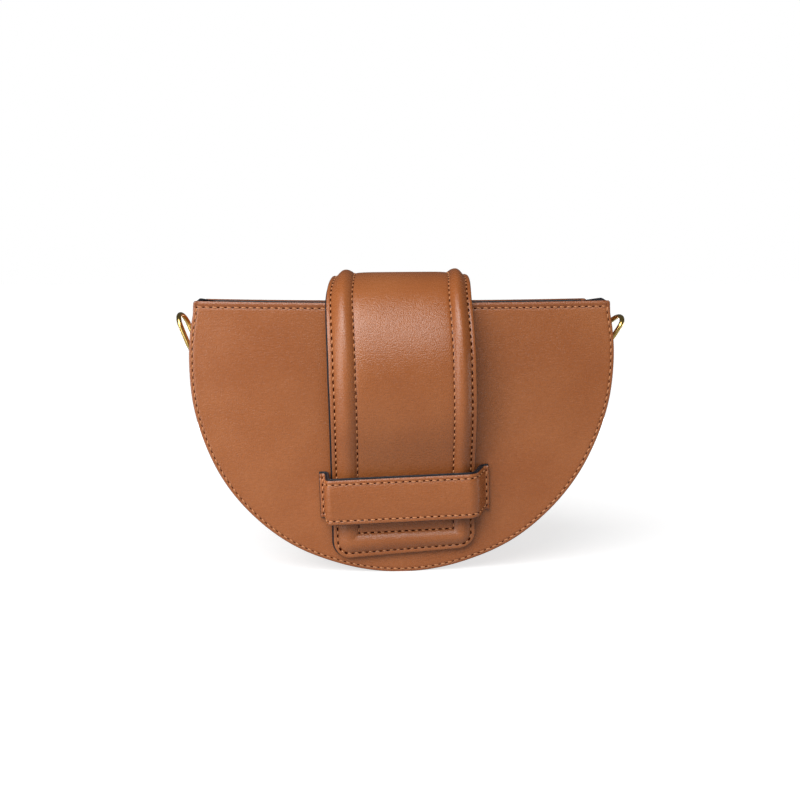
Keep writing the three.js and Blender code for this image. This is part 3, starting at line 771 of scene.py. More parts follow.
@dataclass
class Workshop:
    """Makes the pieces and reports each one."""

    palette: Palette
    middle_x: float
    middle_y: float
    moon: "HalfMoon"
    settled: tuple[str, ...] = ("front_", "rear_", "gusset_", "left_tab", "right_tab")

    def piece(
        self, name: str, hide: Hide, finishes: Materials, slot: Slot, nodes: Sequence[str] = ()
    ) -> bpy.types.Object:
        """Makes an object of the frame from a mesh in the making.

        Args:
            name: The piece's name.
            hide: Its mesh in millimetres.
            finishes: Materials, in the order that the faces number them.
            slot: The record's material slot; not used.
            nodes: Solids that the piece stands for.

        Returns:
            The object, which rides on nothing yet.
        """
        points = np.concatenate(hide.points)
        if name.startswith(self.settled):
            points = self.moon.settle(points)
        points[:, 2] = np.maximum(points[:, 2], 0.0)
        mesh = bpy.data.meshes.new(name)
        faces = [face for block, _ in hide.faces for face in block.tolist()]
        placed = points * MM + np.array([self.middle_x, self.middle_y, 0.0])
        mesh.from_pydata(placed.tolist(), [], faces)
        finish = np.concatenate([block for _, block in hide.faces]).astype(np.int32)
        mesh.polygons.foreach_set("material_index", finish)
        corners = np.zeros(len(mesh.loops), np.int32)
        mesh.loops.foreach_get("vertex_index", corners)
        flat = np.concatenate(hide.layout)[corners] * MM
        mesh.uv_layers.new(name=LAYOUT_MAP).uv.foreach_set("vector", flat.astype(np.float32).ravel())
        # Carries the mark of wear and painted seam shade that the leather's colour reads.
        worn = mesh.attributes.new(WEAR_AND_SHADE_MARK, "FLOAT", "POINT")
        worn.data.foreach_set("value", np.concatenate(hide.worn).astype(np.float32))
        for material in finishes:
            mesh.materials.append(material)
        shell = bmesh.new()
        shell.from_mesh(mesh)
        bmesh.ops.recalc_face_normals(shell, faces=shell.faces)
        shell.to_mesh(mesh)
        shell.free()
        mesh.shade_smooth()
        mesh.set_sharp_from_angle(angle=math.radians(SHARP_DEGREES))
        made = bpy.data.objects.new(name, mesh)
        bpy.context.scene.collection.objects.link(made)
        if nodes:
            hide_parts(*nodes)
        LOG.info("%s: %d faces", name, len(mesh.polygons))
        return made

    def sewn(
        self, name: str, hide: Hide, finishes: Materials, slot: Slot, nodes: Sequence[str] = ()
    ) -> None:
        """Makes a piece, as above, that rides on the bag."""
        made = self.piece(name, hide, finishes, slot, nodes)
        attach(made, Body.BAG.value)


@dataclass(frozen=True)
class Stitching:
    """A lockstitch row: slanted threads between awl holes, whose shade is painted on dark discs."""

    pitch: float = 3.8
    thread_radius: float = 0.40
    slant: float = 0.17
    thread_share: float = 0.68
    dive: float = 0.62
    stand: float = 0.45
    arch_roundness: float = 0.6
    end_share: float = 0.72
    hole_half_length: float = 0.72
    hole_half_width: float = 0.46
    hole_lift: float = 0.09
    rings: int = 9
    sides: int = 8
    hole_sides: int = 10
    plies: int = 2
    ply_depth: float = 0.13
    twists: float = 1.6

    def sew(self, hide: Hide, path: Array, up: Array) -> None:
        """Adds a row of stitches along a line on the leather.

        Args:
            hide: The mesh that takes the row.
            path: Points on the leather's face.
            up: Direction out of the leather at each point.
        """
        length = run_length(path)
        count = max(1, int(round(length[-1] / self.pitch)))
        step = length[-1] / count
        near = 0.05 * step

        def at(distance: Array) -> tuple[Array, Array, Array, Array]:
            """Place, heading, sideways and outward directions at distances along the row.

            Args:
                distance: The distances.

            Returns:
                The places and the three directions.
            """
            ahead = read_at(length, path, np.minimum(distance + near, length[-1]))
            behind = read_at(length, path, np.maximum(distance - near, 0.0))
            heading = unit(ahead - behind)
            outward = unit(read_at(length, up, distance))
            return read_at(length, path, distance), heading, unit(np.cross(heading, outward)), outward

        share = np.linspace(0.0, 1.0, self.rings)
        spread = 0.5 + (share - 0.5) * self.thread_share
        distance = (np.arange(count)[:, None] + spread[None, :]) * step
        place, _, sideways, outward = at(distance)
        arch = np.sin(np.pi * share) ** self.arch_roundness
        rise = self.thread_radius * (arch * (self.stand + self.dive) - self.dive)
        slant = (share - 0.5) * 2 * self.slant
        centres = place + outward * rise[None, :, None] + sideways * slant[None, :, None]
        angle = 2 * np.pi * np.arange(self.sides) / self.sides
        twist = angle[None, :] - 2 * np.pi * self.twists * share[:, None]
        ply = 1 + self.ply_depth * np.cos(self.plies * twist)
        taper = self.end_share + (1 - self.end_share) * arch
        radius = (self.thread_radius * ply * taper[:, None])[None, :, :, None]
        rings = centres[:, :, None] + radius * (
            sideways[:, :, None] * np.cos(angle)[None, None, :, None]
            + outward[:, :, None] * np.sin(angle)[None, None, :, None]
        )
        layout = np.stack(np.broadcast_arrays(angle[None, None, :], distance[:, :, None]), -1)
        numbers = hide.add(rings, layout)
        hide.skin(numbers, 0, wrap=True)
        for end in (0, -1):
            hide.fan(numbers[:, end], hide.add(centres[:, end], layout[:, end, 0]), 0)
        self._pierce(hide, *at(np.arange(count + 1) * step))

    def _pierce(self, hide: Hide, place: Array, heading: Array, sideways: Array, outward: Array) -> None:
        """Adds the awl holes of a row as dark discs: painted shade of the holes.

        Args:
            hide: The mesh that takes them.
            place: The holes' middles on the leather's face.
            heading: Direction of the row at each disc.
            sideways: Direction across the row.
            outward: Direction out of the leather.
        """
        # Dark discs just over the leather: painted shade of the awl holes.
        angle = 2 * np.pi * np.arange(self.hole_sides) / self.hole_sides
        rim = (
            place[:, None]
            + heading[:, None] * (self.hole_half_length * np.cos(angle))[None, :, None]
            + sideways[:, None] * (self.hole_half_width * np.sin(angle))[None, :, None]
            + outward[:, None] * self.hole_lift
        )
        numbers = hide.add(rim, np.stack([np.cos(angle), np.sin(angle)], -1)[None])
        hide.fan(numbers, hide.add(place + outward * self.hole_lift, np.zeros(2)), 1)


# The half moon and the body of the bag


@dataclass(frozen=True)
class HalfMoon:
    """The bag's outline: a circle cut off at the mouth and drawn out a little below its centre."""

    radius: float = 115.0
    drop: float = 118.8
    mouth_above_centre: float = 31.5
    base_flattening: float = 1.5
    mouth_dip: float = 1.2
    corner_radius: float = 1.0
    least_corner: float = 0.4
    lean: float = 1.3
    lean_at_mouth: float = 0.5
    lean_over: Pair = (25.0, 125.0)
    slimmer: float = 0.35
    slimmer_over: Pair = (90.0, 115.0)
    fuller: float = 0.55
    fuller_at: Pair = (48.0, 18.0)
    spread: float = 1.2
    spread_height: float = 8.0
    base_angle: float = 0.004 - np.pi / 2
    base_round: Pair = (35.0, 75.0)
    base_height: float = 45.0
    pole_height: float = 112.0
    rays: int = 560
    edge_steps: int = 240
    corner_steps: int = 14

    @property
    def centre_z(self) -> float:
        """Height of the circle's centre."""
        return self.drop - self.base_flattening

    @property
    def mouth_z(self) -> float:
        """Height of the mouth's corners."""
        return self.centre_z + self.mouth_above_centre

    def arc_point(self, inset: Array, side: float, angle: Array) -> tuple[Array, Array]:
        """A point of the outline drawn in by inset.

        Args:
            inset: Distance in from the outline.
            side: -1 for the left, 1 for the right.
            angle: Angle up from the centre.

        Returns:
            Its x and z.
        """
        inset = np.asarray(inset, float)
        height = np.where(np.asarray(angle) < 0, self.drop - inset, self.radius - inset)
        return side * (self.radius - inset) * np.cos(angle), self.centre_z + height * np.sin(angle)

    def arc_angle(self, inset: Array, top: float, share: Array) -> Array:
        """Angle up from the centre, by a share that runs from 0 at the height top to 1 at the base."""
        mouth = np.arcsin((top - self.centre_z) / (self.radius - np.asarray(inset, float)))
        return mouth + (self.base_angle - mouth) * share

    def edge(self, inset: float = 0.0, below: float = 0.0) -> Array:
        """The closed outline drawn in by inset, from the right mouth corner round the base.

        Args:
            inset: Distance in from the outline.
            below: How far the mouth edge is lowered.

        Returns:
            Points as (x, z).
        """
        top = self.mouth_z - below - inset
        corner = max(self.corner_radius - inset, self.least_corner)
        share = np.linspace(corner / (self.radius * np.pi / 2), 1.0, self.edge_steps)
        right = np.stack(self.arc_point(inset, 1, self.arc_angle(inset, top, share)), 1)
        left = right[::-1] * np.array([-1.0, 1.0])
        tip = float(self.arc_point(inset, 1, self.arc_angle(inset, top, 0.0))[0])
        into = bezier([left[-1], (-tip, top), (corner - tip, top)], self.corner_steps)
        half = tip - corner
        across = np.linspace(-half, half, self.edge_steps)
        mouth = np.stack([across, top - self.mouth_dip * (1 - (across / half) ** 2)], 1)
        out = bezier([(half, top), (tip, top), right[0]], self.corner_steps)
        return joined([np.concatenate([right, left]), into, mouth, out])[:-1]

    def rings(self, insets: Sequence[float], shares: Sequence[float], below: float = 0.0) -> Array:
        """Nested rings of the half moon, all on the same rays from its pole.

        Args:
            insets: Distances in from the outline of the outer rings.
            shares: Sizes of the inner rings, each as a share of the ring before it.
            below: How far the mouth edge is lowered.

        Returns:
            Points as (x, z), ring by ring.
        """
        pole = np.array([0.0, self.pole_height])
        border = self.edge(insets[0], below)
        closed = np.concatenate([border, border[:1]])
        length = run_length(closed)
        high = border[:, 1] > self.mouth_z - below - insets[0] - self.corner_radius
        aside = np.abs(border[:, 0])
        corners = length[:-1][high & (aside > aside[high].max() - self.corner_radius)]
        spots = np.union1d(np.linspace(0.0, length[-1], self.rays, endpoint=False), corners)
        first = read_at(length, closed, spots) - pole
        angle = np.arctan2(first[:, 1], first[:, 0])
        reaches = []
        for inset in insets:
            line = self.edge(inset, below) - pole
            turn = np.arctan2(line[:, 1], line[:, 0])
            order = np.argsort(turn)
            far = np.hypot(line[:, 0], line[:, 1])[order]
            reaches.append(np.interp(angle, turn[order], far, period=2 * np.pi))
        for share in shares:
            reaches.append(reaches[-1] * share)
        return pole + np.stack(reaches)[..., None] * np.stack([np.cos(angle), np.sin(angle)], -1)[None]

    def settle(self, points: Array) -> Array:
        """Moves points of the body to where the sewn bag departs a little from its drawn outline.

        Args:
            points: Places on the drawn bag.

        Returns:
            Places on the sewn bag, which leans, spreads at the mouth, is full low down and round at the base.
        """
        x, y, z = np.moveaxis(points, -1, 0)
        width = self.fuller * bell(z, *self.fuller_at) - self.slimmer * smooth(z, *self.slimmer_over)
        width = width + self.spread * smooth(z, self.mouth_z - self.spread_height, self.mouth_z)
        shift = self.lean_at_mouth - self.lean * (1 - smooth(z, *self.lean_over))
        arch = np.sqrt(1 - np.clip(x / self.radius, -1.0, 1.0) ** 2)
        rise = (self.drop - self.centre_z) * arch * (1 - smooth(np.abs(x), *self.base_round))
        rise = rise * (1 - smooth(z, 0.0, self.base_height))
        return np.stack([x * (1 + width / self.radius) + shift, y, z + rise], -1)

    def mouth_level(self, x: Array) -> Array:
        """Height of the mouth edge, which dips towards the middle."""
        return self.mouth_z - self.mouth_dip * (1 - (x / self.radius) ** 2)

    def depth_from_side(self, x: Array, z: Array) -> Array:
        """Distance in from the round edge."""
        height = np.where(z < self.centre_z, self.drop, self.radius)
        return self.radius * (1 - np.hypot(x / self.radius, (z - self.centre_z) / height))


@dataclass
class BagBody:
    """Panels, gusset, facings and linings of the bag, with their seams."""

    shop: Workshop
    moon: HalfMoon
    half_depth: float
    glue: float = 0.3
    panel_leather: float = 1.6
    gusset_leather: float = 1.4
    gusset_flange: float = 3.6
    gusset_bend: float = 1.6
    facing_leather: float = 1.2
    facing_height: float = 22.0
    facing_reveal: float = 0.7
    facing_sag: float = 0.12
    lining: float = 0.6
    lining_slack: float = 0.9
    lining_below_mouth: float = 14.0
    gusset_above_mouth: float = 0.6
    side_seam: float = 1.55
    mouth_seam: float = 3.0
    seam_dip: float = 0.34
    fullness: float = 0.9
    full_over: Pair = (2.0, 42.0)
    wave: float = 0.20
    slant_wave: float = 0.12
    waves_over: Pair = (4.0, 22.0)
    band_rise: float = 0.16
    edge_roll: float = 0.28
    edge_dome: float = 0.25
    # Weights of the panel's darkening mark: partly wear and pressing, partly painted shade at the seams,
    # mouth band and edge.
    seam_press_and_shade: float = 0.75
    band_press_and_shade: float = 0.6
    edge_press_and_shade: float = 0.35
    strap_clear: Pair = (50.0, 66.0)
    root_below: Pair = (68.0, 84.0)
    fold_from: float = 127.0
    fold_depth: float = 3.2
    fold_sharpness: float = 1.6
    flare: float = 2.8
    flare_height: float = 16.0
    flare_at: Pair = (-20.0, 9.0)
    least_inset: float = 0.9
    pucker: float = 0.26
    pucker_at: Pair = (8.5, 3.0)
    pucker_below: Pair = (60.0, 105.0)
    insets: tuple[float, ...] = (0.0, 0.25, 0.6, 1.05, 1.55, 2.05, 2.6, 3.1, 3.6, 4.1, 4.8, 6.0, 8.0, 11.0)
    seam_steps: int = 400
    stitching: Stitching = Stitching()

    @property
    def wall_inset(self) -> float:
        """How far the gusset's wall lies in from the outline."""
        return self.gusset_flange

    @property
    def board_inset(self) -> float:
        """How far the facings lie in from the outline."""
        return self.wall_inset + self.gusset_leather + self.glue

    def depths(self, x: Array, z: Array) -> tuple[Array, Array]:
        """Distances in from the round edge and below the mouth edge."""
        return self.moon.depth_from_side(x, z), self.moon.mouth_level(x) - z

    def relief(self, x: Array, z: Array, face: Face) -> Array:
        """How far a panel's face stands proud: full away from the strap, dipped at its seams.

        Args:
            x: Places across the panel.
            z: Heights on the panel.
            face: Which panel.

        Returns:
            Distances out of the flat panel.
        """
        from_side, from_mouth = self.depths(x, z)
        depth = np.minimum(from_side, from_mouth)
        free = smooth(np.abs(x), *self.strap_clear)
        if face is Face.REAR:
            free = 1 - (1 - free) * smooth(z, *self.root_below)
        swell = self.fullness * smooth(depth, *self.full_over)
        waves = self.wave * np.sin(x / 23 + 0.7) * np.cos(z / 19 + 0.3)
        waves = (waves + self.slant_wave * np.sin(x / 12 - z / 16)) * smooth(depth, *self.waves_over)
        dips = self.seam_dip * (bell(from_side, self.side_seam, 0.5) + bell(from_mouth, self.mouth_seam, 0.6))
        band = self.band_rise * bell(from_mouth, self.mouth_seam / 2, 1.2)
        roll = self.edge_roll * (1 - smooth(depth, 0.0, 0.8))
        return (swell + waves) * free - dips + band - roll

    def pressed_and_shaded(self, x: Array, z: Array) -> Array:
        """How much the panel's face is darkened along its seams, mouth band and edge: partly wear and
        pressing, partly painted shade in the seam dips and along the band.

        Args:
            x: Places across the panel.
            z: Heights on the panel.

        Returns:
            Shares from 0 to 1.
        """
        from_side, from_mouth = self.depths(x, z)
        seams = bell(from_side, self.side_seam, 0.7) + bell(from_mouth, self.mouth_seam, 0.7)
        band = self.band_press_and_shade * (1 - smooth(from_mouth, 2.2, 3.2))
        edge = self.edge_press_and_shade * bell(np.minimum(from_side, from_mouth), 0.0, 0.5)
        return np.clip(self.seam_press_and_shade * seams + band + edge, 0.0, 1.0)

    def panel_point(self, x: Array, z: Array, face: Face) -> Array:
        """Points on a panel's outer face."""
        return np.stack([x, face.value * (self.half_depth + self.relief(x, z, face)), z], -1)

    def panel(self, face: Face) -> None:
        """Makes one panel and its rows of stitches.

        Args:
            face: Which panel.
        """
        label = face.name.lower()
        x, z = np.moveaxis(self.moon.rings(self.insets, np.linspace(1.0, 0.0, 14)[1:-1]), -1, 0)
        outer = self.panel_point(x, z, face)
        inner = outer.copy()
        inner[..., 1] = face.value * (self.half_depth - self.panel_leather)
        pole = self.panel_point(np.array(0.0), np.array(self.moon.pole_height), face)
        back_pole = np.array([0.0, inner[0, 0, 1], self.moon.pole_height])
        at_mouth = self.depths(x[0], z[0])[1] < 1.0
        hide = Hide().disc(
            outer, inner, (pole, back_pole), np.where(at_mouth, 1, 2), self.edge_dome, self.pressed_and_shaded(x, z)
        )
        palette = self.shop.palette
        finishes = (palette.leather, palette.black_edge, palette.brown_edge)
        self.shop.sewn(f"{label}_panel_leather", hide, finishes, Slot.TAN, [f"{label}_panel"])
        self._panel_seams(face)

    def _panel_seams(self, face: Face) -> None:
        """Sews the side row, through panel and flange, and the mouth row, through panel and facing.

        Args:
            face: Which panel.
        """
        share = np.linspace(0.0, 1.0, self.seam_steps)
        top = self.moon.mouth_z - self.mouth_seam
        x, z = self.moon.arc_point(self.side_seam, 1, self.moon.arc_angle(self.side_seam, top, share))
        half = float(x[0])
        x = np.concatenate([x, -x[::-1]])
        z = np.concatenate([z, z[::-1]])
        out = np.array([0.0, float(face.value), 0.0])
        behind = self.half_depth - self.panel_leather - self.glue
        side = self.panel_point(x, z, face)
        flange = side.copy()
        flange[:, 1] = face.value * (behind - self.gusset_leather)
        across = np.linspace(-half, half, self.seam_steps)
        mouth = self.panel_point(across, self.moon.mouth_level(across) - self.mouth_seam, face)
        faced = mouth[np.abs(across) < half - self.board_inset].copy()
        faced[:, 1] = face.value * (behind - self.facing_leather)
        palette = self.shop.palette
        rows = [
            ("side", side, out, palette.thread, Slot.TAN),
            ("flange", flange, -out, palette.thread, Slot.TAN),
            ("mouth", mouth, out, palette.thread, Slot.TAN),
            ("facing", faced, -out, palette.black_thread, Slot.BLACK),
        ]
        for row, path, up, thread, slot in rows:
            hide = Hide()
            self.stitching.sew(hide, path, np.broadcast_to(up, path.shape))
            self.shop.sewn(f"{face.name.lower()}_{row}_thread", hide, (thread, palette.hole_shade), slot)

    def fold(self, y: Array, z: Array, reach: float) -> Array:
        """How far the gusset's wall, of half width reach, folds inwards towards the mouth."""
        crease = np.clip(1 - (np.abs(y) / reach) ** self.fold_sharpness, 0.0, 1.0)
        return self.fold_depth * smooth(z, self.fold_from, self.moon.mouth_z + 6) * crease

    def sweep(self, section: Array, top: Array | float, steps: int) -> Array:
        """Sweeps a section of (depth, inset) pairs round the outline.

        Args:
            section: The section's points.
            top: Height of the swept strip's ends, one for all or one for each point of the section.
            steps: Stations on each half of the outline.

        Returns:
            Points, station by station from the right end to the left.
        """
        share = np.linspace(0.0, 1.0, steps)[:, None]
        y = np.broadcast_to(section[None, :, 0], (steps, len(section)))
        inset = np.broadcast_to(section[None, :, 1], (steps, len(section)))
        angle = self.moon.arc_angle(inset, top, share)
        _, height = self.moon.arc_point(inset, 1, angle)
        mouth = self.moon.mouth_z
        flare = self.flare * smooth(height, mouth - self.flare_height, mouth) * bell(y, *self.flare_at)
        folded = inset + self.fold(y, height, np.ptp(section[:, 0]) / 2) - flare
        x, z = self.moon.arc_point(np.maximum(folded, np.minimum(inset, self.least_inset)), 1, angle)
        right = np.stack([x, y, z], -1)
        return np.concatenate([right, right[::-1] * np.array([-1.0, 1.0, 1.0])])

    def gusset(self) -> None:
        """Makes the gusset, a wall whose edges turn out as flanges, and its lining strip."""
        outside = self.half_depth - self.panel_leather - self.glue
        centre = (outside - self.gusset_leather - self.gusset_bend, self.wall_inset - self.gusset_bend)

        def turned(thickness: float) -> Array:
            """One face of the strip, from the front flange's edge to the rear one's.

            Args:
                thickness: Distance from the strip's outer face.

            Returns:
                Points of the section as (depth, inset).
            """
            radius = self.gusset_bend + thickness
            flange = np.linspace(0.0, centre[1], 5)[:-1]
            edge = np.stack([np.full(4, centre[0] + radius), flange], 1)
            bend = arc(centre, (radius, radius), 0.0, np.pi / 2, 7)
            wall = np.linspace(centre[0], 0.0, 9)[1:]
            flat = np.stack([wall, np.full(8, self.wall_inset + thickness)], 1)
            half = np.concatenate([edge, bend, flat])
            return np.concatenate([half * [-1, 1], half[-2::-1]])

        sections = turned(0.0), turned(self.gusset_leather)
        outer, inner = (self.sweep(section, self._end_height(section), 150) for section in sections)
        outer = self._puckered(outer)
        hide = Hide().slab(outer, inner, self._strip_layout(outer), (1, 2, 1, 2), 0.2)
        palette = self.shop.palette
        finishes = (palette.leather, palette.black_edge, palette.brown_edge)
        self.shop.sewn("gusset_leather", hide, finishes, Slot.TAN, ["gusset"])
        y = np.linspace(-centre[0], centre[0], 21)
        insets = self.board_inset, self.board_inset + self.lining
        sections = (np.stack([y, np.full(21, inset)], 1) for inset in insets)
        near, far = (self.sweep(flat, self._end_height(flat) - self.glue, 90) for flat in sections)
        hide = Hide().slab(far, near, self._strip_layout(far), (0, 0, 0, 0), 0.1)
        self.shop.sewn("gusset_lining_cloth", hide, (palette.cloth,), Slot.BLACK, ["gusset_lining"])

    def _end_height(self, section: Array) -> Array:
        """Heights of the gusset's ends, which stand up behind the front flange and fall away to the rear.

        Args:
            section: Points of the strip's section as (depth, inset).

        Returns:
            A height for each point.
        """
        y = section[:, 0] / self.half_depth
        peak = smooth(y, -0.88, -0.74) * (1 - smooth(y, -0.4, 0.5))
        return self.moon.mouth_z + self.gusset_above_mouth * (2 * peak - 1)

    @staticmethod
    def _strip_layout(points: Array) -> Array:
        """A swept strip laid out flat: across by its own run, along by its middle line.

        Args:
            points: Places on the strip, station by station.

        Returns:
            The flat layout.
        """
        along = run_length(points[:, points.shape[1] // 2])
        across = run_length(points[0])
        across = across - across[-1] / 2
        return np.stack(np.broadcast_arrays(across[None, :], along[:, None]), -1)

    def _puckered(self, points: Array) -> Array:
        """The gusset's outer face with small puckers beside its flanges, where it is sewn round the curve.

        Args:
            points: Places on the smooth face.

        Returns:
            Places on the puckered face.
        """
        along = run_length(points[:, points.shape[1] // 2])[:, None]
        y, z = points[..., 1], points[..., 2]
        inset, width = self.pucker_at
        near = bell(np.abs(y), self.half_depth - inset, width) * (1 - smooth(z, *self.pucker_below))
        depth = self.pucker * near * (np.sin(along / 1.15 + np.sign(y)) + 0.5 * np.sin(along / 2.7))
        toward = np.stack([-points[..., 0], 0 * y, self.moon.centre_z - z], -1)
        return points + unit(toward) * depth[..., None]

    def facing(self, face: Face) -> None:
        """Makes the facing, a strip inside the mouth edge.

        Args:
            face: Which panel it backs.
        """
        label = face.name.lower()
        share = np.linspace(-1.0, 1.0, 90)[None, :]
        drop = np.linspace(self.facing_height, self.facing_reveal, 12)[:, None]
        z = self.moon.mouth_z - drop
        x = share * np.sqrt((self.moon.radius - self.board_inset) ** 2 - (z - self.moon.centre_z) ** 2)
        z = z - self.moon.mouth_dip * (1 - share**2) + 0 * x
        out = face.value * (self.half_depth - (self.panel_leather + self.glue)) + 0 * x
        held = smooth(drop, 0.0, 8.0) * smooth(self.facing_height - drop, 0.0, 8.0)
        sag = self.facing_sag * np.sin(x / 9) * held
        outer = np.stack([x, out, z], -1)
        inner = np.stack([x, out - face.value * (self.facing_leather + sag), z], -1)
        hide = Hide().slab(inner, outer, np.stack([x, z], -1), (1, 1, 1, 1), 0.2)
        finishes = (self.shop.palette.facing, self.shop.palette.black_edge)
        self.shop.sewn(f"{label}_facing_leather", hide, finishes, Slot.BLACK, [f"{label}_facing"])

    def lined(self, face: Face) -> None:
        """Makes the lining, which hangs a little slack.

        Args:
            face: Which panel it lines.
        """
        label = face.name.lower()
        inset = self.board_inset + self.lining + self.glue
        outer_insets = (inset, inset + 1.5, inset + 4, inset + 8)
        shares = np.linspace(1.0, 0.0, 16)[1:-1]
        x, z = np.moveaxis(self.moon.rings(outer_insets, shares, self.lining_below_mouth - inset), -1, 0)
        depth = self.moon.depth_from_side(x, z) - inset
        uneven = 0.6 + 0.4 * np.sin(x / 13 + face.value) * np.cos(z / 21)
        slack = self.lining_slack * smooth(depth, 1.0, 30.0) * uneven
        behind = self.panel_leather + self.glue + self.facing_leather + self.glue
        base = face.value * (self.half_depth - behind)
        outer = np.stack([x, base - face.value * (self.lining + slack), z], -1)
        inner = np.stack([x, base + 0 * x, z], -1)
        middle = np.array([0.0, base - face.value * (self.lining + 0.6), self.moon.pole_height])
        hide = Hide().disc(outer, inner, (middle, middle * [1, 0, 1] + [0, base, 0]), 0, 0.1)
        finishes = (self.shop.palette.cloth,)
        self.shop.sewn(f"{label}_lining_cloth", hide, finishes, Slot.BLACK, [f"{label}_lining"])

    def make(self) -> None:
        """Makes the whole body."""
        for face in Face:
            self.panel(face)
            self.facing(face)
            self.lined(face)
        self.gusset()


# The strap


@dataclass(frozen=True)
class StrapHalf:
    """One half of the strap, from its apex to an end: the stretches it stands for, its two bodies and a bend
    range.
    """

    label: str
    end: float
    bodies: tuple[Body, Body]
    bend_over: Pair
    stretches: tuple[str, ...]

    def stands_for(self, layer: str) -> list[str]:
        """The solids of one layer."""
        return [f"strap_{stretch}_{layer}" for stretch in self.stretches]

    def bend(self, made: bpy.types.Object) -> None:
        """Bakes a piece's transform into its mesh; the half's bend range is read but not applied.

        Args:
            made: The piece.
        """
        low, high = self.bend_over
        low * MM
        high * MM
        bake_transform(made)


@dataclass
class Strap:
    """The padded strap: sewn to the back, arched over the mouth, its tongue tucked down the front."""

    shop: Workshop
    moon: HalfMoon
    half_depth: float
    width: float = 77.2
    middle_offset: float = 0.3
    corner_radius: float = 9.0
    lining: float = 1.2
    leather: float = 1.3
    glue: float = 0.3
    rim: float = 2.3
    bead_width: float = 10.4
    bead_lopsided: float = 1.26
    end_bead_width: float = 10.3
    bead_rise: float = 2.95
    field_rise: float = 1.6
    bead_roundness: float = 0.9
    tip_flatter: float = 0.22
    flatter_before_tip: float = 30.0
    field_swell: float = 0.55
    field_swell_over: float = 3.0
    seam_dip: float = 0.24
    inner_dip: float = 1.2
    # Darkening at the seams: partly pressing, partly painted shade in the seam dips.
    seam_press_and_shade: float = 0.8
    edge_roll: float = 0.3
    wave: float = 0.10
    seat_gap: float = 0.4
    tongue_gap: float = 1.0
    crown_rise: float = 10.5
    crown_square: float = 2.2
    mouth_clearance: float = 0.5
    shoulder_below_mouth: float = 42.0
    rear_bend_below_mouth: float = 9.0
    rear_seat_below_mouth: float = 34.0
    root_end_below_mouth: float = 64.0
    front_seat_z: float = 36.0
    tip_above_base: float = 11.5
    drift_at_crown: float = -0.7
    drift_at_front: float = -3.1
    drift_at_shoulder: float = -2.15
    drift_at_tip: float = 0.0
    front_share: float = 0.45
    tip_drift_power: float = 0.7
    tip_slant_degrees: float = 4.0
    crown_tilt: float = 0.014
    tilt_over: float = 50.0
    crown_pinch: float = 1.5
    pinch_from: Pair = (30.0, 38.5)
    pinch_over: float = 14.0
    crown_roll: float = -0.6
    roll_over: float = 22.0
    lining_over_left: float = 0.75
    lining_over_right: float = 0.15
    cord_half_width: float = 2.6
    pad_margin: float = 1.0
    rear_blend: Pair = (125.0, 152.0)
    front_blend: Pair = (135.0, 95.0)
    route_steps: int = 500
    row_step: float = 0.95
    field_lines: int = 18
    stitching: Stitching = Stitching(
        thread_share=0.54, hole_half_length=1.0, hole_half_width=0.6, hole_lift=0.2
    )

    def __post_init__(self) -> None:
        """Lays the route of the lining's inner face from the root end to the tip."""
        mouth = self.moon.mouth_z
        seat = self.half_depth + self.seat_gap
        tongue = -self.half_depth - self.tongue_gap
        rear = (self._reach(self.rear_bend_below_mouth), mouth - self.rear_bend_below_mouth)
        front = (-self._reach(self.shoulder_below_mouth), mouth - self.shoulder_below_mouth)
        rear_seat = (seat, mouth - self.rear_seat_below_mouth)
        front_seat = (tongue, self.front_seat_z)
        steps = self.route_steps
        runs = [
            np.linspace((seat, mouth - self.root_end_below_mouth), rear_seat, steps),
            self._slip(rear_seat, rear),
            self._quarter(self.rear_bend_below_mouth, 0.0),
            self._quarter(self.shoulder_below_mouth, np.pi / 2),
            self._slip(front, front_seat),
            np.linspace(front_seat, (tongue, self.tip_above_base), steps),
        ]
        self.route = Route(joined(runs))
        self.length = self.route.length
        self.apex = float(sum(run_length(run)[-1] for run in runs[:3]))
        self.shoulder = self.apex + float(run_length(runs[3])[-1])
        self.straight = float(self.front_seat_z - self.tip_above_base)

    def _reach(self, drop: float) -> float:
        """Half width of a quarter of the crown that starts drop below the mouth and just clears its edge."""
        slope = (drop + self.mouth_clearance) / (drop + self.crown_rise)
        return (self.half_depth + self.seat_gap) / (1 - slope**self.crown_square) ** (1 / self.crown_square)

    def _quarter(self, drop: float, start: float) -> Array:
        """A quarter of the crown, an ellipse drawn a little towards a square.

        Args:
            drop: How far below the mouth it starts.
            start: First angle in radians.

        Returns:
            Points as (y, z).
        """
        angle = np.linspace(start, start + np.pi / 2, self.route_steps)
        parts = (np.cos(angle), np.sin(angle))
        across, up = (np.sign(part) * np.abs(part) ** (2 / self.crown_square) for part in parts)
        high = self.moon.mouth_z - drop + (self.crown_rise + drop) * up
        return np.stack([self._reach(drop) * across, high], 1)

    def _slip(self, start: Sequence[float], end: Sequence[float]) -> Array:
        """An S-curve that leaves and arrives vertically."""
        middle = (start[1] + end[1]) / 2
        return bezier([start, (start[0], middle), (end[0], middle), end], self.route_steps)

    @property
    def skin_low(self) -> float:
        """Height of the leather's underside at the rim."""
        return self.lining + self.glue

    @property
    def half_width(self) -> float:
        """Half the leather's width."""
        return self.width / 2

    def insets(self, share: float) -> tuple[float, float, float]:
        """Distances in from the left side, the right side and an end of a line within the bead.

        Args:
            share: 0 at the bead's outer seam, 1 at its inner one.

        Returns:
            The three distances.
        """
        slope = share * self.bead_lopsided / self.half_width
        left = (self.rim + share * (self.bead_width + self.bead_lopsided)) / (1 + slope)
        right = (self.rim + share * (self.bead_width - self.bead_lopsided)) / (1 - slope)
        return left, right, self.rim + share * self.end_bead_width

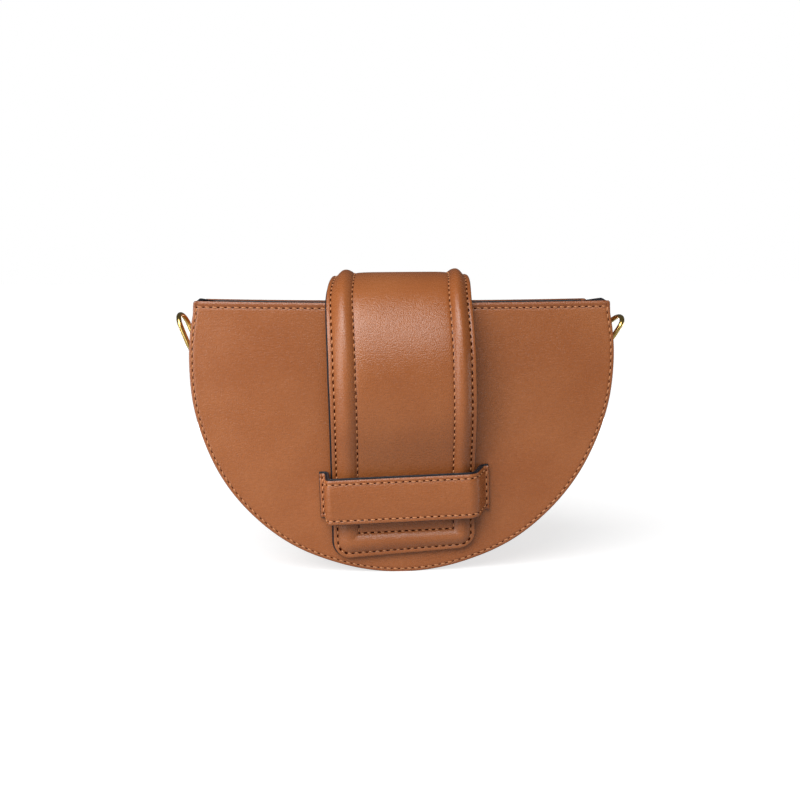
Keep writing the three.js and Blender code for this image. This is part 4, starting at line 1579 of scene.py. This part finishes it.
    def drift(self, along: Array) -> Array:
        """Sideways drift of the strap's middle line, by stages from the crown to the tip.

        Args:
            along: Distance along the route.

        Returns:
            Distances to the right.
        """
        front = self.apex + self.front_share * (self.shoulder - self.apex)
        tip = np.clip((along - self.shoulder) / (self.length - self.shoulder), 0.0, 1.0)
        stages = [
            (self.drift_at_front - self.drift_at_crown, smooth(along, self.apex, front)),
            (self.drift_at_shoulder - self.drift_at_front, smooth(along, front, self.shoulder)),
            (self.drift_at_tip - self.drift_at_shoulder, tip**self.tip_drift_power),
        ]
        return self.drift_at_crown + sum(change * share for change, share in stages)

    def cut_half_width(self, along: Array) -> Array:
        """Half width drawn in round the corners of an end.

        Args:
            along: Distance along the route.

        Returns:
            The half widths.
        """
        radius = self.corner_radius
        into = np.clip(radius - np.minimum(along, self.length - along), 0.0, radius)
        return self.half_width - (radius - np.sqrt(np.maximum(radius**2 - into**2, 0.0)))

    def point(self, along: Array, across: Array, up: Array) -> Array:
        """Points of the strap.

        Args:
            along: Distance along the route.
            across: Distance from the middle line.
            up: Height over the lining's inner face.

        Returns:
            Places in the bag's frame.
        """
        along, across, up = np.broadcast_arrays(along, across, up)
        into_end = np.maximum(0.0, along - (self.length - self.straight)) / self.straight
        slanted = along - across * math.tan(math.radians(self.tip_slant_degrees)) * into_end
        held = np.clip(slanted, 0.0, self.length)
        beyond = slanted - held
        y, z = self.route.place(held)
        ahead_y, ahead_z = self.route.ahead(held)
        pinch = np.sign(across) * self.crown_pinch * smooth(np.abs(across), *self.pinch_from)
        pinch = pinch * bell(along, self.apex, self.pinch_over)
        tilt = across * self.crown_tilt * bell(along, self.apex, self.tilt_over)
        return np.stack(
            [
                across - pinch + self.drift(along) + self.middle_offset,
                y + ahead_y * beyond + ahead_z * up,
                z + ahead_z * beyond - ahead_y * up + tilt,
            ],
            -1,
        )

    def outward(self, along: Array) -> Array:
        """Direction out of the strap at distances along it."""
        ahead_y, ahead_z = self.route.ahead(along)
        return np.stack([0 * ahead_y, ahead_z, -ahead_y], -1)

    @staticmethod
    def _rounded(side: Array, end: Array, radius: Array | float) -> Array:
        """The lesser of two distances from straight edges, measured round their rounded corner."""
        corner = radius - np.hypot(radius - side, radius - end)
        return np.where((side < radius) & (end < radius), corner, np.minimum(side, end))

    def measures(self, along: Array, across: Array) -> tuple[Array, Array, Array]:
        """Where places on the strap lie between its rim and its field.

        Args:
            along: Distance along the route.
            across: Distance from the middle line.

        Returns:
            Distance from the rim, share of the way over the bead and distance inside the bead's inner seam.
        """
        side = self.half_width - np.abs(across)
        end = np.minimum(along, self.length - along)
        bead = self.bead_width - self.bead_lopsided * across / self.half_width
        corner = (self.corner_radius - self.rim) / self.bead_width
        over = self._rounded((side - self.rim) / bead, (end - self.rim) / self.end_bead_width, corner)
        inside = np.minimum(side - self.rim - bead, end - self.rim - self.end_bead_width)
        return np.maximum(self._rounded(side, end, self.corner_radius), 0.0), np.clip(over, 0.0, 1.0), inside

    def skin_height(self, along: Array, across: Array) -> Array:
        """Height of the leather's outer face: a bead between two seams round a padded field.

        Args:
            along: Distance along the route.
            across: Distance from the middle line.

        Returns:
            Heights over the lining's inner face.
        """
        rim, share, inside = self.measures(along, across)
        flatter = smooth(along, self.shoulder, self.length - self.flatter_before_tip)
        bead = self.bead_rise * (1 - self.tip_flatter * flatter)
        rise = self.field_rise * share + bead * np.sin(np.pi * share) ** self.bead_roundness
        swell = self.field_swell * (1 - np.exp(-np.maximum(inside, 0.0) / self.field_swell_over))
        dips = self.seam_dip * (bell(rim, self.rim, 0.5) + self.inner_dip * bell(inside, 0.0, 0.7))
        roll = self.edge_roll * (1 - smooth(rim, 0.0, 0.9))
        crown_roll = self.crown_roll * (1 - smooth(rim, 0.0, 4.0)) * bell(along, self.apex, self.roll_over)
        waves = self.wave * np.sin(along / 6.1 + across / 17) * smooth(rim, 2.0, 16.0)
        return self.skin_low + self.leather + rise + swell - dips - (roll + crown_roll) + waves

    def rows(self, end: float, step: float) -> Array:
        """Distances along the strap for one half, closer together round an end's corners.

        Args:
            end: An end of the strap.
            step: Usual distance between rows.

        Returns:
            Distances from the apex to the end.
        """
        radius = self.corner_radius
        total = abs(end - self.apex)
        first = 0.05
        seam = total - self.insets(1.0)[2] + np.array([-1.0, -0.5, 0.0, 0.5, 1.0])
        plain = np.linspace(0.0, total - radius, int((total - radius) / step))
        plain = plain[np.abs(plain[:, None] - seam).min(1) > 0.4]
        corner = total - radius * (1 - np.sin(np.linspace(0.0, np.pi / 2, 19)[1:]))
        offsets = np.sort(np.concatenate([[first], plain, seam, corner]))
        return self.apex + math.copysign(1.0, end - self.apex) * offsets

    def columns(self) -> Array:
        """Distances from the rim at which the leather's grid has a line.

        Returns:
            The distances, going inwards.
        """
        left, right, _ = self.insets(1.0)
        edge = [0.0, 0.3, 0.7, 1.2]
        rim = self.rim + np.array([-0.7, -0.35, 0.0, 0.35, 0.7, 1.3, 2.1])
        bead = np.linspace(self.rim + 3.0, right - 1.5, 8)
        seam = np.linspace(right - 0.8, left + 0.8, 7)
        return np.concatenate([edge, rim, bead, seam, left + np.array([1.7, 3.2, 5.2])])

    def grid(self, along: Array, distances: Array, grow: Sequence[Array | float] = (0.0, 0.0)) -> Array:
        """Distances across the strap for each row.

        Args:
            along: The rows.
            distances: Distances from the rim near each side.
            grow: How far the left and the right side reach past the rim.

        Returns:
            Distances from the middle line, row by row.
        """
        half = self.cut_half_width(along)[:, None]
        left = distances[None, :] - half
        right = -left[:, ::-1]
        share = np.linspace(0.0, 1.0, self.field_lines + 2)[None, 1:-1]
        between = left[:, -1:] + (right[:, :1] - left[:, -1:]) * share
        across = np.concatenate([left, between, right], 1)
        return across + np.where(across < 0, -grow[0], grow[1]) * smooth(np.abs(across) / half, 0.6, 1.0)

    def cover(self, half: StrapHalf) -> None:
        """Makes the leather of one half.

        Args:
            half: Which half.
        """
        along = self.rows(half.end, self.row_step)
        across = self.grid(along, self.columns())
        along = along[:, None] + 0 * across
        height = self.skin_height(along, across)
        outer = self.point(along, across, height)
        inner = self.point(along, across, height - self.leather)
        rim, _, inside = self.measures(along, across)
        # Painted shade and pressing: the leather darkens along both seams.
        seams = bell(rim, self.rim, 0.6) + bell(inside, 0.0, 0.7)
        worn = np.clip(self.seam_press_and_shade * seams, 0.0, 1.0)
        hide = Hide().slab(outer, inner, np.stack([across, along], -1), (0, 1, 1, 1), 0.25, worn)
        finishes = (self.shop.palette.leather, self.shop.palette.black_edge)
        name = f"strap_{half.label}_leather"
        cover = self.shop.piece(name, hide, finishes, Slot.TAN, half.stands_for("leather"))
        half.bend(cover)

    def backing(self, half: StrapHalf) -> None:
        """Makes the lining of one half.

        Args:
            half: Which half.
        """
        along = self.rows(half.end, 2.0)
        low = smooth(along, self.apex, self.shoulder)[:, None]
        grow = (self.lining_over_left * (0.35 + 0.65 * low), self.lining_over_right)
        across = self.grid(along, np.array([0.0, 0.5, 1.5, 4.0]), grow)
        along = along[:, None] + 0 * across
        faces = (self.point(along, across, up) for up in (0.0, self.lining))
        hide = Hide().slab(*faces, np.stack([across, along], -1), (0, 1, 1, 1), 0.2)
        finishes = (self.shop.palette.cloth, self.shop.palette.black_edge)
        name = f"strap_{half.label}_lining"
        half.bend(self.shop.piece(name, hide, finishes, Slot.BLACK, half.stands_for("lining")))

    def filling(self, half: StrapHalf) -> None:
        """Makes the field pad and the bead cord of one half.

        Args:
            half: Which half.
        """
        finishes = (self.shop.palette.filler,)
        left, right, base = (inset + self.pad_margin for inset in self.insets(1.0))
        stop = half.end + math.copysign(1.0, self.apex - half.end) * base
        along = np.linspace(self.apex, stop, int(abs(stop - self.apex) / 3.0))[:, None]
        across = np.linspace(left - self.half_width, self.half_width - right, 25)[None, :] + 0 * along
        along = along + 0 * across
        dome = 0.3 * (1 - np.linspace(-1.0, 1.0, 25)[None, :] ** 8)
        outer = self.point(along, across, self.skin_low + self.field_rise - self.glue + dome)
        inner = self.point(along, across, self.skin_low)
        hide = Hide().slab(outer, inner, np.stack([across, along], -1), (0, 0, 0, 0), 0.3)
        name = f"strap_{half.label}_pad"
        pad = self.shop.piece(name, hide, finishes, Slot.FILLER, half.stands_for("pad"))
        half.bend(pad)
        along, across = joined(self._seam(0.5, self.cord_half_width + 1.0, half.end)).T
        half_height = (self.bead_rise - self.glue) / 2
        centres = self.point(along, across, self.skin_low + self.glue + half_height)
        outward = self.outward(along)
        sideways = unit(np.cross(np.gradient(centres, axis=0), outward))
        hide = Hide().tube(centres, sideways * self.cord_half_width, outward * half_height, False)
        stands = []
        for stretch in half.stretches:
            cords = ("left_cord", "right_cord") if stretch == "crown" else ("cord",)
            stands.extend(f"strap_{stretch}_{cord}" for cord in cords)
        half.bend(self.shop.piece(f"strap_{half.label}_cord", hide, finishes, Slot.FILLER, stands))

    def threads(self, half: StrapHalf) -> None:
        """Sews the bead's outer seam, in one row round the corners, and its inner seam, in three rows.

        Args:
            half: Which half.
        """
        finishes = (self.shop.palette.thread, self.shop.palette.hole_shade)
        outer = [joined(self._seam(0.0, self.corner_radius - self.rim, half.end))]
        for label, runs in (("outer", outer), ("inner", self._seam(1.0, 0.0, half.end))):
            hide = Hide()
            for along, across in (run.T for run in runs):
                path = self.point(along, across, self.skin_height(along, across))
                self.stitching.sew(hide, path, self.outward(along))
            half.bend(self.shop.piece(f"strap_{half.label}_{label}_thread", hide, finishes, Slot.TAN))

    def _seam(self, share: float, corner: float, end: float) -> list[Array]:
        """A line within the bead, from the apex down the left, across one end and back up the right.

        Args:
            share: 0 at the bead's outer seam, 1 at its inner one.
            corner: Radius of the line's corners.
            end: Distance along the route of the end.

        Returns:
            Runs of (along, across) points that meet end to end, with the corners in the middle run.
        """
        left, right, base = self.insets(share)
        inward = math.copysign(1.0, self.apex - end)
        level = end + inward * base
        turn = level + inward * corner
        low, high = left - self.half_width, self.half_width - right
        across = np.linspace((level, low + corner), (level, high - corner), 200)
        if corner:
            into = bezier([(turn, low), (level, low), (level, low + corner)], 24)
            out = bezier([(level, high - corner), (level, high), (turn, high)], 24)
            across = joined([into, across, out])
        down = np.linspace((self.apex, low), (turn, low), 300)
        up = np.linspace((turn, high), (self.apex, high), 300)
        return [down, across, up]

    def make(self) -> None:
        """Makes both halves."""
        rear = ("rear", 0.0, (Body.BAG, Body.CROWN), self.rear_blend, ("root", "crown"))
        front = ("front", self.length, (Body.CROWN, Body.TONGUE), self.front_blend, ("crown", "tongue"))
        for half in (StrapHalf(*rear), StrapHalf(*front)):
            self.cover(half)
            self.backing(half)
            self.filling(half)
            self.threads(half)


# The keeper


@dataclass(frozen=True)
class KeeperFoot:
    """How one end of the keeper comes down to the panel."""

    clearance: float
    riser_degrees: float
    foot_radius: float
    shoulder_radius: float


@dataclass
class Keeper:
    """The band that holds the tongue: two feet sewn to the panel and a raised middle."""

    shop: Workshop
    half_depth: float
    left: KeeperFoot = KeeperFoot(4.1, 88.0, 3.0, 0.8)
    right: KeeperFoot = KeeperFoot(6.9, 62.0, 3.2, 4.5)
    offset: float = -0.9
    tongue_half_width: float = 38.5
    width: float = 24.0
    centre_above_base: float = 45.5
    tilt_degrees: float = 1.9
    lining_over: float = 0.55
    sag: float = 2.2
    lining: float = 1.0
    leather: float = 1.4
    glue: float = 0.3
    standoff: float = 11.25
    end_tab: float = 2.1
    seam_top: float = 2.3
    seam_bottom: float = 2.0
    seam_end: float = 1.4
    seam_dip: float = 0.3
    # Darkening at the seams: partly pressing, partly painted shade in the seam dips.
    seam_press_and_shade: float = 0.7
    swell: float = 0.35
    edge_roll: float = 0.35
    edge_lines: tuple[float, ...] = (0.0, 0.3, 0.7, 1.2, 1.6, 2.0, 2.3, 2.8, 3.4, 4.5)
    stitching: Stitching = Stitching(pitch=3.7)

    def __post_init__(self) -> None:
        """Lays the route of the inner face in (x, distance from the panel), from left to right."""
        halves = [self._half_route(self.left), self._half_route(self.right)[::-1] * [-1, 1]]
        self.route = Route(joined(halves))
        self.length = self.route.length

    def _half_route(self, side: KeeperFoot) -> Array:
        """The route from the left end to the middle, through end tab, foot, riser, shoulder and flat.

        Args:
            side: Shape of that end.

        Returns:
            Points as (x, distance from the panel).
        """
        tilt = math.radians(side.riser_degrees)
        foot = self.tongue_half_width + side.clearance
        foot_top = self.glue + side.foot_radius * (1 - math.cos(tilt))
        shoulder_bottom = self.standoff - side.shoulder_radius * (1 - math.cos(tilt))
        foot_x = foot - side.foot_radius * math.sin(tilt)
        shoulder_x = foot_x - (shoulder_bottom - foot_top) / math.tan(tilt)
        top_x = shoulder_x - side.shoulder_radius * math.sin(tilt)
        down, up = -np.pi / 2, np.pi / 2
        bend = arc((-foot, self.glue + side.foot_radius), (side.foot_radius,) * 2, down, down + tilt, 14)
        turn = (-top_x, self.standoff - side.shoulder_radius)
        return joined(
            [
                np.linspace((-foot - self.end_tab, self.glue), (-foot, self.glue), 8),
                bend,
                np.linspace((-foot_x, foot_top), (-shoulder_x, shoulder_bottom), 10),
                arc(turn, (side.shoulder_radius,) * 2, up + tilt, up, 14),
                np.linspace((-top_x, self.standoff), (0.0, self.standoff), 32),
            ]
        )

    def point(self, along: Array, across: Array, up: Array) -> Array:
        """Points of the keeper.

        Args:
            along: Distance along the route.
            across: Height from the band's middle line.
            up: Distance over the lining's inner face.

        Returns:
            Places in the bag's frame.
        """
        along, across, up = np.broadcast_arrays(along, across, up)
        x, away = self.route.place(along)
        head_x, head_away = self.route.ahead(along)
        z = across - self.sag * away / self.standoff
        x = x - head_away * up
        tilt = math.radians(self.tilt_degrees)
        return np.stack(
            [
                self.offset + x * math.cos(tilt) - z * math.sin(tilt),
                -self.half_depth - (away + head_x * up),
                self.centre_above_base + x * math.sin(tilt) + z * math.cos(tilt),
            ],
            -1,
        )

    def seams(self, along: Array, across: Array, width: float) -> Array:
        """Bells of one width on the top, bottom and end seams.

        Args:
            along: Distance along the route.
            across: Height from the band's middle line.
            width: The bells' width.

        Returns:
            Their sum.
        """
        top, bottom = self.width / 2 - across, self.width / 2 + across
        dips = bell(top, self.seam_top, width) + bell(bottom, self.seam_bottom, width)
        return dips + bell(np.minimum(along, self.length - along), self.seam_end, width)

    def skin_height(self, along: Array, across: Array) -> Array:
        """Height of the leather's outer face, swollen a little between its seams.

        Args:
            along: Distance along the route.
            across: Height from the band's middle line.

        Returns:
            Heights over the lining's inner face.
        """
        edge = np.minimum(self.width / 2 - np.abs(across), np.minimum(along, self.length - along))
        swell = self.swell * smooth(edge, 1.5, 9.0)
        roll = self.edge_roll * (1 - smooth(edge, 0.0, 1.0))
        dips = self.seam_dip * self.seams(along, across, 0.55)
        return self.lining + self.glue + self.leather + swell - dips - roll

    def band(self) -> None:
        """Makes the band's leather."""
        half = self.width / 2
        edge = np.array(self.edge_lines)
        lines = np.concatenate([edge - half, np.linspace(-half + 6, half - 6, 9), (half - edge)[::-1]])
        even = np.linspace(0, self.length, 120)
        rows = np.unique(np.concatenate([self.route.along, edge, self.length - edge, even]))
        along, across = np.meshgrid(rows, lines, indexing="ij")
        outer = self.point(along, across, self.skin_height(along, across))
        inner = self.point(along, across, self.lining + self.glue)
        # Painted shade and pressing: the leather darkens along the seams.
        worn = np.clip(self.seam_press_and_shade * self.seams(along, across, 0.6), 0, 1)
        hide = Hide().slab(outer, inner, np.stack([along, across], -1), (1, 1, 1, 1), 0.3, worn)
        finishes = (self.shop.palette.leather, self.shop.palette.black_edge)
        self.shop.sewn("keeper_band_leather", hide, finishes, Slot.TAN, ["keeper_leather"])

    def backing(self) -> None:
        """Makes the band's lining, which shows a little over its top edge."""
        half = self.width / 2
        middle = np.linspace(2 - half, half - 2, 9)
        lines = np.concatenate([[-half, 0.4 - half], middle, [half, half + self.lining_over]])
        along, across = np.meshgrid(self.route.along, lines, indexing="ij")
        faces = (self.point(along, across, up) for up in (0.0, self.lining))
        hide = Hide().slab(*faces, np.stack([along, across], -1), (1, 1, 1, 1), 0.3)
        finishes = (self.shop.palette.cloth, self.shop.palette.black_edge)
        self.shop.sewn("keeper_band_lining", hide, finishes, Slot.BLACK, ["keeper_lining"])

    def threads(self) -> None:
        """Sews the band's four rows."""
        high, low = self.width / 2 - self.seam_top, self.seam_bottom - self.width / 2
        near, far = self.seam_end, self.length - self.seam_end
        level, upright = np.linspace(near, far, 500), np.linspace(low, high, 80)
        hide = Hide()
        for row in ((level, high), (level, low), (near, upright), (far, upright)):
            along, across = np.broadcast_arrays(*row)
            path = self.point(along, across, self.skin_height(along, across))
            head_x, head_away = self.route.ahead(along)
            self.stitching.sew(hide, path, np.stack([-head_away, -head_x, 0 * head_x], -1))
        finishes = (self.shop.palette.thread, self.shop.palette.hole_shade)
        self.shop.sewn("keeper_thread", hide, finishes, Slot.TAN)

    def make(self) -> None:
        """Makes the band, its lining and its rows of stitches."""
        self.band()
        self.backing()
        self.threads()


# Rings and tabs


@dataclass
class RingFitting:
    """A round-wire D-ring in a folded leather tab on one end of the gusset."""

    shop: Workshop
    moon: HalfMoon
    side: Side
    wall_inset: float
    lean_degrees: float
    wire_radius: float = 1.35
    inner_width: float = 16.0
    height: float = 19.5
    bow_rise: float = 6.5
    corner_radius: float = 3.0
    below_mouth: float = 26.2
    yaw_degrees: float = 6.0
    tab_width: float = 12.0
    tab_leather: float = 1.4
    tab_length: float = 22.0
    tab_clearance: float = 0.6
    tab_neck: float = 8.0
    tab_seam: float = 1.8
    edge_roll: float = 0.25
    glue: float = 0.3
    stitching: Stitching = Stitching(pitch=3.0, thread_radius=0.36)

    @property
    def standoff(self) -> float:
        """Distance of the ring's bar from the gusset's wall."""
        return self.glue + self.tab_leather + self.tab_clearance + self.wire_radius

    @property
    def bar_radius(self) -> float:
        """Distance of the bar from the outline's centre."""
        return self.moon.radius - self.wall_inset + self.standoff

    @property
    def bar_angle(self) -> float:
        """Angle of the bar up from the outline's centre."""
        return math.asin((self.moon.mouth_z - self.below_mouth - self.moon.centre_z) / self.bar_radius)

    def ring(self) -> None:
        """Makes the D-ring."""
        half = self.inner_width / 2 + self.wire_radius
        bend = self.corner_radius
        base = np.linspace((0.0, 0.0), (half - bend, 0.0), 10)
        corner = arc((half - bend, bend), (bend, bend), -np.pi / 2, 0.0, 16)
        bow = arc((0.0, self.height - self.bow_rise), (half, self.bow_rise), 0.0, np.pi, 64)
        right = joined([base, corner, np.linspace(corner[-1], bow[0], 16)])
        outline = joined([right, bow, right[::-1] * [-1, 1]])[:-1]
        ahead = unit(np.roll(outline, -1, 0) - np.roll(outline, 1, 0))
        side = self.side.value
        out = side * self.bar_radius * math.cos(self.bar_angle)
        bar = np.array([out, 0.0, self.moon.mouth_z - self.below_mouth])
        lean, yaw = (math.radians(angle) * side for angle in (self.lean_degrees, self.yaw_degrees))
        rising = np.array([math.sin(lean), 0.0, math.cos(lean)])
        level = np.array([-math.sin(yaw), math.cos(yaw), 0.0])
        centres = bar + outline[:, :1] * level + outline[:, 1:] * rising
        across = (ahead[:, 1:] * level - ahead[:, :1] * rising) * self.wire_radius
        up = np.broadcast_to(np.cross(level, rising) * self.wire_radius, centres.shape)
        hide = Hide().tube(centres, across, up, True)
        label = self.side.name.lower()
        finishes = (self.shop.palette.gold,)
        made = self.shop.piece(f"{label}_ring_gold", hide, finishes, Slot.GOLD, [f"{label}_d_ring"])
        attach(made, Body.LEFT_RING.value if self.side is Side.LEFT else Body.RIGHT_RING.value)

    def tab_point(self, away: Array, along: Array, y: Array) -> Array:
        """Points of the tab.

        Args:
            away: Distance out of the gusset's wall.
            along: Distance up the wall from the ring's bar.
            y: Place across the bag.

        Returns:
            Places in the bag's frame.
        """
        angle = self.bar_angle + along / self.bar_radius
        x, z = self.moon.arc_point(self.wall_inset - away, self.side.value, angle)
        return np.stack(np.broadcast_arrays(x, y, z), -1)

    def tab(self) -> None:
        """Makes the folded tab and the stitches that hold it."""
        middle = self.tab_leather / 2
        near = self.glue + middle
        loop = self.wire_radius + self.tab_clearance + middle
        far = near + self.tab_leather + self.glue
        neck = -self.tab_neck
        outside = self.standoff + loop
        route = Route(
            joined(
                [
                    np.linspace((near, -self.tab_length), (near, 0.0), 24),
                    arc((self.standoff, 0.0), (loop, loop), np.pi, 0.0, 32),
                    bezier([(outside, 0.0), (outside, neck / 2), (far, neck / 2), (far, neck)], 24),
                    np.linspace((far, neck), (far, -self.tab_length), 18),
                ]
            )
        )
        outward = np.stack([-route.heading[:, 1], route.heading[:, 0]], 1)
        half = self.tab_width / 2
        edge = np.array([0.0, 0.3, 0.8, 1.4])
        y = np.concatenate([edge - half, np.linspace(2.2 - half, half - 2.2, 9), (half - edge)[::-1]])
        lift = (middle - self.edge_roll * (1 - smooth(half - np.abs(y), 0.0, 1.0)))[None, :, None]
        outer = route.points[:, None] + outward[:, None] * lift
        inner = route.points[:, None] - outward[:, None] * middle + 0 * outer
        layout = np.stack(np.broadcast_arrays(y[None, :], route.along[:, None]), -1)
        faces = (self.tab_point(face[..., 0], face[..., 1], y[None, :]) for face in (outer, inner))
        hide = Hide().slab(*faces, layout, (1, 1, 1, 1), 0.2)
        label = self.side.name.lower()
        palette = self.shop.palette
        finishes = (palette.leather, palette.brown_edge)
        self.shop.sewn(f"{label}_tab_leather", hide, finishes, Slot.TAN, [f"{label}_ring_tab"])
        low, high = self.tab_seam - self.tab_length, neck - self.tab_seam
        side = half - self.tab_seam
        across, upright = np.linspace(-side, side, 40), np.linspace(low, high, 60)
        out = np.array([float(self.side.value), 0.0, 0.0])
        hide = Hide()
        for row in ((low, across), (high, across), (upright, -side), (upright, side)):
            path = self.tab_point(far + middle, *np.broadcast_arrays(*row))
            self.stitching.sew(hide, path, np.broadcast_to(out, path.shape))
        self.shop.sewn(f"{label}_tab_thread", hide, (palette.thread, palette.hole_shade), Slot.TAN)

    def make(self) -> None:
        """Makes the tab and its ring."""
        self.tab()
        self.ring()


# The studio


@dataclass
class Studio:
    """A pale floor, soft light and the photograph's view."""

    middle_x: float
    front_y: float
    look_height: float = 94.8
    distance: float = 550.0
    azimuth_degrees: float = -4.35
    elevation_degrees: float = 7.0
    focal_pixels: float = 1016.0
    picture_pixels: float = 800.0
    shift_pixels: Pair = (-3.95, 1.0)
    sensor: float = 36.0
    nearest: float = 0.01
    floor_size: float = 40.0
    floor_grey: Colour = (0.45, 0.45, 0.45, 1)
    floor_glow: float = 0.7
    sky: float = 0.08
    sun_reach: float = 2.0

    def place(
        self, name: str, data: bpy.types.ID, azimuth: float, elevation: float, reach: float
    ) -> bpy.types.Object:
        """Puts a camera or light, which the picture doesn't show, where it faces the bag.

        Args:
            name: Its name.
            data: The camera or light.
            azimuth: Degrees to the right of straight ahead.
            elevation: Degrees above the horizon.
            reach: Metres from the bag.

        Returns:
            The object.
        """
        made = bpy.data.objects.new(name, data)
        made.visible_camera = False
        turn, rise = math.radians(azimuth), math.radians(elevation)
        level = math.cos(rise)
        toward = Vector((math.sin(turn) * level, -math.cos(turn) * level, math.sin(rise)))
        made.location = Vector((self.middle_x, self.front_y, self.look_height * MM)) + toward * reach
        made.rotation_euler = (-toward).to_track_quat("-Z", "Y").to_euler()
        bpy.context.scene.collection.objects.link(made)
        return made

    def camera(self) -> None:
        """Makes the camera."""
        data = bpy.data.cameras.new("photo_camera")
        data.sensor_width = self.sensor
        data.lens = self.focal_pixels / self.picture_pixels * self.sensor
        data.shift_x, data.shift_y = (shift / self.picture_pixels for shift in self.shift_pixels)
        data.clip_start = self.nearest
        view = (self.azimuth_degrees, self.elevation_degrees, self.distance * MM)
        bpy.context.scene.camera = self.place("photo_camera", data, *view)

    def floor(self) -> None:
        """Makes the floor."""
        half = self.floor_size / 2
        mesh = bpy.data.meshes.new("studio_floor")
        corners = [(-half, -half, 0.0), (half, -half, 0.0), (half, half, 0.0), (-half, half, 0.0)]
        mesh.from_pydata(corners, [], [(0, 1, 2, 3)])
        material, nodes = material_nodes("pale_floor")
        path = nodes.node("ShaderNodeLightPath")
        nodes.surface(
            {
                "Base Color": self.floor_grey,
                "Roughness": 0.9,
                "Specular IOR Level": 0.1,
                "Emission Color": nodes.blend(nodes.out(path, "Is Camera Ray"), (0, 0, 0, 1), (1, 1, 1, 1)),
                "Emission Strength": self.floor_glow,
            }
        )
        mesh.materials.append(material)
        made = bpy.data.objects.new("studio_floor", mesh)
        bpy.context.scene.collection.objects.link(made)

    def sky_light(self) -> None:
        """Makes an even white surround that lights less than it shows."""
        world = bpy.data.worlds.new("studio_surround")
        bpy.context.scene.world = world
        world.use_nodes = True
        nodes = Nodes(world.node_tree)
        lit, seen = (
            nodes.out(nodes.node("ShaderNodeBackground", {}, {"Color": (1, 1, 1, 1), "Strength": strength}))
            for strength in (self.sky, 1.0)
        )
        path = nodes.out(nodes.node("ShaderNodeLightPath"), "Is Camera Ray")
        mixed = nodes.node("ShaderNodeMixShader", {}, {0: path, 1: lit, 2: seen})
        nodes.node("ShaderNodeOutputWorld", {}, {"Surface": nodes.out(mixed)})

    def sun(self, name: str, azimuth: float, elevation: float, strength: float, spread: float) -> None:
        """Makes a broad, even light.

        Args:
            name: The light's name.
            azimuth: Degrees to the right of straight ahead.
            elevation: Degrees above the horizon.
            strength: Its strength.
            spread: How wide it looks from the bag, in degrees.
        """
        data = bpy.data.lights.new(name, "SUN")
        data.energy = strength
        data.angle = math.radians(spread)
        self.place(name, data, azimuth, elevation, self.sun_reach)

    def softbox(self, name: str, size: Pair, power: float, place: tuple[float, float, float]) -> None:
        """Makes a near light with a flat face.

        Args:
            name: The light's name.
            size: Width and height of the face, in metres.
            power: Its power.
            place: Azimuth, elevation and reach.
        """
        data = bpy.data.lights.new(name, "AREA")
        data.shape = "RECTANGLE"
        data.size, data.size_y = size
        data.energy = power
        self.place(name, data, *place)

    def make(self) -> None:
        """Makes the whole studio."""
        self.camera()
        self.floor()
        self.sky_light()
        self.sun("key_light", azimuth=-29.0, elevation=48.0, strength=2.55, spread=48.0)
        self.sun("front_light", azimuth=4.0, elevation=31.0, strength=0.46, spread=30.0)
        self.softbox("side_softbox", size=(0.3, 0.3), power=0.85, place=(-55.0, 12.0, 0.45))
        self.softbox("rear_softbox", size=(0.8, 0.06), power=1.3, place=(180.0, -6.0, 0.6))
        self.softbox("right_softbox", size=(0.5, 0.14), power=0.55, place=(112.0, -5.0, 0.6))
        view = bpy.context.scene.view_settings
        view.view_transform = "Standard"
        view.look = "None"


def plain(corner: Vector) -> list[float]:
    """A corner of a box as a plain list."""
    return [float(value) for value in corner]


def main() -> None:
    """Loads the frame and builds the bag around it."""
    logging.basicConfig(level=logging.INFO, format="%(name)s %(message)s")
    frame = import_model()
    low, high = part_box("front_panel")
    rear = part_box("rear_panel")[1].y
    middle_x = (low.x + high.x) / 2
    half_depth = (rear - low.y) / 2 / MM
    moon = HalfMoon()
    shop = Workshop(Palette(), middle_x, (low.y + rear) / 2, moon)
    Studio(middle_x, low.y).make()
    body = BagBody(shop, moon, half_depth)
    body.make()
    Strap(shop, moon, half_depth).make()
    Keeper(shop, half_depth).make()
    for side, lean in RING_LEANS.items():
        RingFitting(shop, moon, side, body.wall_inset, lean).make()
    for name in ("front_board", "rear_board"):
        frame["nodes"][name].data.materials.clear()
        frame["nodes"][name].data.materials.append(shop.palette.board)
        LOG.info("%s keeps its solid", name)


if __name__ == "__main__":
    main()
